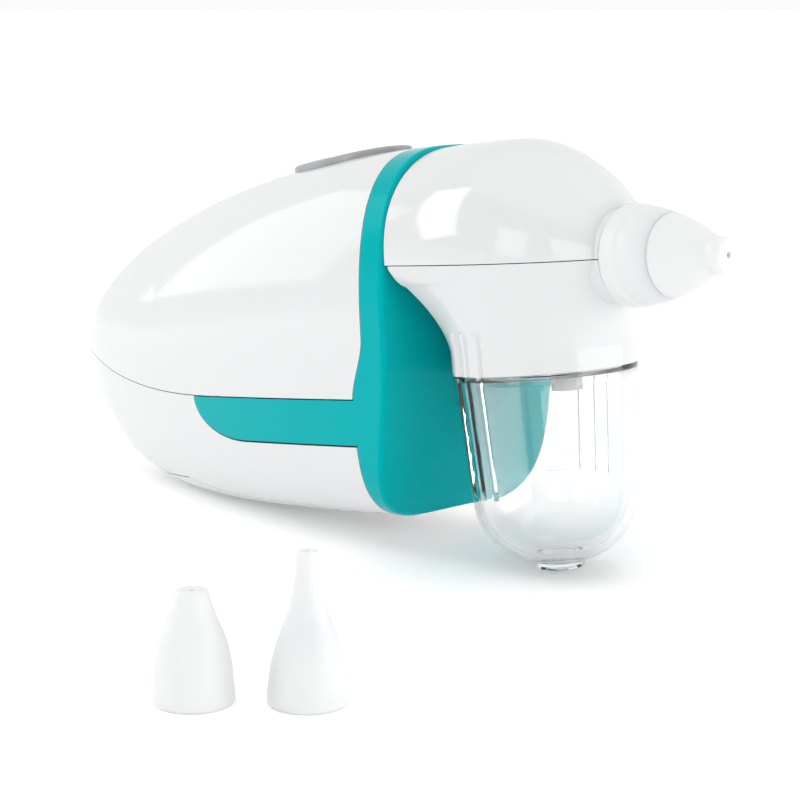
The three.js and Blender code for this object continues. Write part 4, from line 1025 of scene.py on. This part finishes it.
# ---------------------------------------------------------------- table, lights and surroundings
def floor_plane():
    """A very wide white table, faintly lit from within so that it stays white under the object."""
    size = 40.0                                       # metres to each side
    mesh = bpy.data.meshes.new("table_top")
    corners = [(-size, -size, 0), (size, -size, 0), (size, size, 0), (-size, size, 0)]
    mesh.from_pydata(corners, [], [(0, 1, 2, 3)])
    made = bpy.data.objects.new("table_top", mesh)
    bpy.context.scene.collection.objects.link(made)
    made.location.z = cad_box[0].z
    mesh.materials.append(material("table_white", (0.95, 0.95, 0.95), 0.6, vary=0.01, bump=0.02,
                                   Emission_Color=(1.0, 1.0, 1.0, 1.0), Emission_Strength=0.16))


floor_plane()

HEAD_CENTRE = DEVICE @ Vector((4.0, 0.0, 24.0))
LIGHT_DISTANCE = 1.0                                  # metres from the middle of the head


def softbox(name, azimuth, elevation, width, height, radiance, roll=0.0):
    """A rectangular light round the head. Azimuth 0 is towards -Y, 90 towards +X; sizes are in degrees."""
    turn, rise = math.radians(azimuth), math.radians(elevation)
    way = Vector((math.sin(turn) * math.cos(rise), -math.cos(turn) * math.cos(rise), math.sin(rise)))
    light = bpy.data.lights.new(name, "AREA")
    light.shape = "RECTANGLE"
    light.size = 2.0 * LIGHT_DISTANCE * math.tan(math.radians(width / 2))
    light.size_y = 2.0 * LIGHT_DISTANCE * math.tan(math.radians(height / 2))
    light.energy = radiance * math.pi * light.size * light.size_y
    made = bpy.data.objects.new(name, light)
    made.location = HEAD_CENTRE + way * LIGHT_DISTANCE
    made.rotation_mode = "QUATERNION"
    made.rotation_quaternion = (Matrix.Rotation(math.radians(roll), 3, way)
                                @ way.to_track_quat("Z", "Y").to_matrix()).to_quaternion()
    bpy.context.scene.collection.objects.link(made)


softbox("side_window", -67, 15, 24, 26, 1.3)
softbox("tall_window", -43, 28, 13, 38, 4.2, roll=32)
softbox("small_window", -1, 15, 15, 22, 2.0)
softbox("wide_window", 38, 16, 30, 24, 2.1)
softbox("right_wall", 118, 4, 70, 50, 2.2)

# Brightness of the surroundings overhead, at the horizon, on the camera's side and behind the object.
SKY_TOP, SKY_HORIZON, SKY_FRONT, SKY_BACK = 1.3, 0.88, 0.4, 0.97
BEHIND = tuple(-backwards)


def studio_world():
    """Bright above, bright behind the object and at the horizon, dimmer on the camera's side."""
    world = bpy.data.worlds.new("studio")
    world.use_nodes = True
    nodes, links = world.node_tree.nodes, world.node_tree.links
    place = nodes.new("ShaderNodeTexCoord")
    split = nodes.new("ShaderNodeSeparateXYZ")
    links.new(place.outputs["Generated"], split.inputs["Vector"])
    facing = nodes.new("ShaderNodeVectorMath")
    facing.operation = "DOT_PRODUCT"
    facing.inputs[1].default_value = BEHIND
    links.new(place.outputs["Generated"], facing.inputs[0])

    def ramp(source, low, high, start, end):
        scale = nodes.new("ShaderNodeMapRange")
        scale.interpolation_type = "SMOOTHSTEP"
        for socket, value in zip(("From Min", "From Max", "To Min", "To Max"), (low, high, start, end)):
            scale.inputs[socket].default_value = value
        links.new(source, scale.inputs["Value"])
        return scale.outputs["Result"]

    def larger(a, b):
        pick = nodes.new("ShaderNodeMath")
        pick.operation = "MAXIMUM"
        links.new(a, pick.inputs[0])
        links.new(b, pick.inputs[1])
        return pick.outputs["Value"]

    height = split.outputs["Z"]
    overhead = ramp(height, 0.55, 0.85, 0.0, SKY_TOP)
    horizon = ramp(height, 0.06, 0.14, SKY_HORIZON, 0.0)
    back = ramp(facing.outputs["Value"], -0.1, 0.55, SKY_FRONT, SKY_BACK)
    links.new(larger(larger(overhead, horizon), back), nodes["Background"].inputs["Strength"])
    nodes["Background"].inputs["Color"].default_value = (1.0, 1.0, 1.0, 1.0)
    return world


bpy.context.scene.world = studio_world()
bpy.context.scene.view_settings.view_transform = "Standard"

for scratch in (body_outer, body_inner, body_shell, casing_shell):
    bpy.data.objects.remove(scratch)
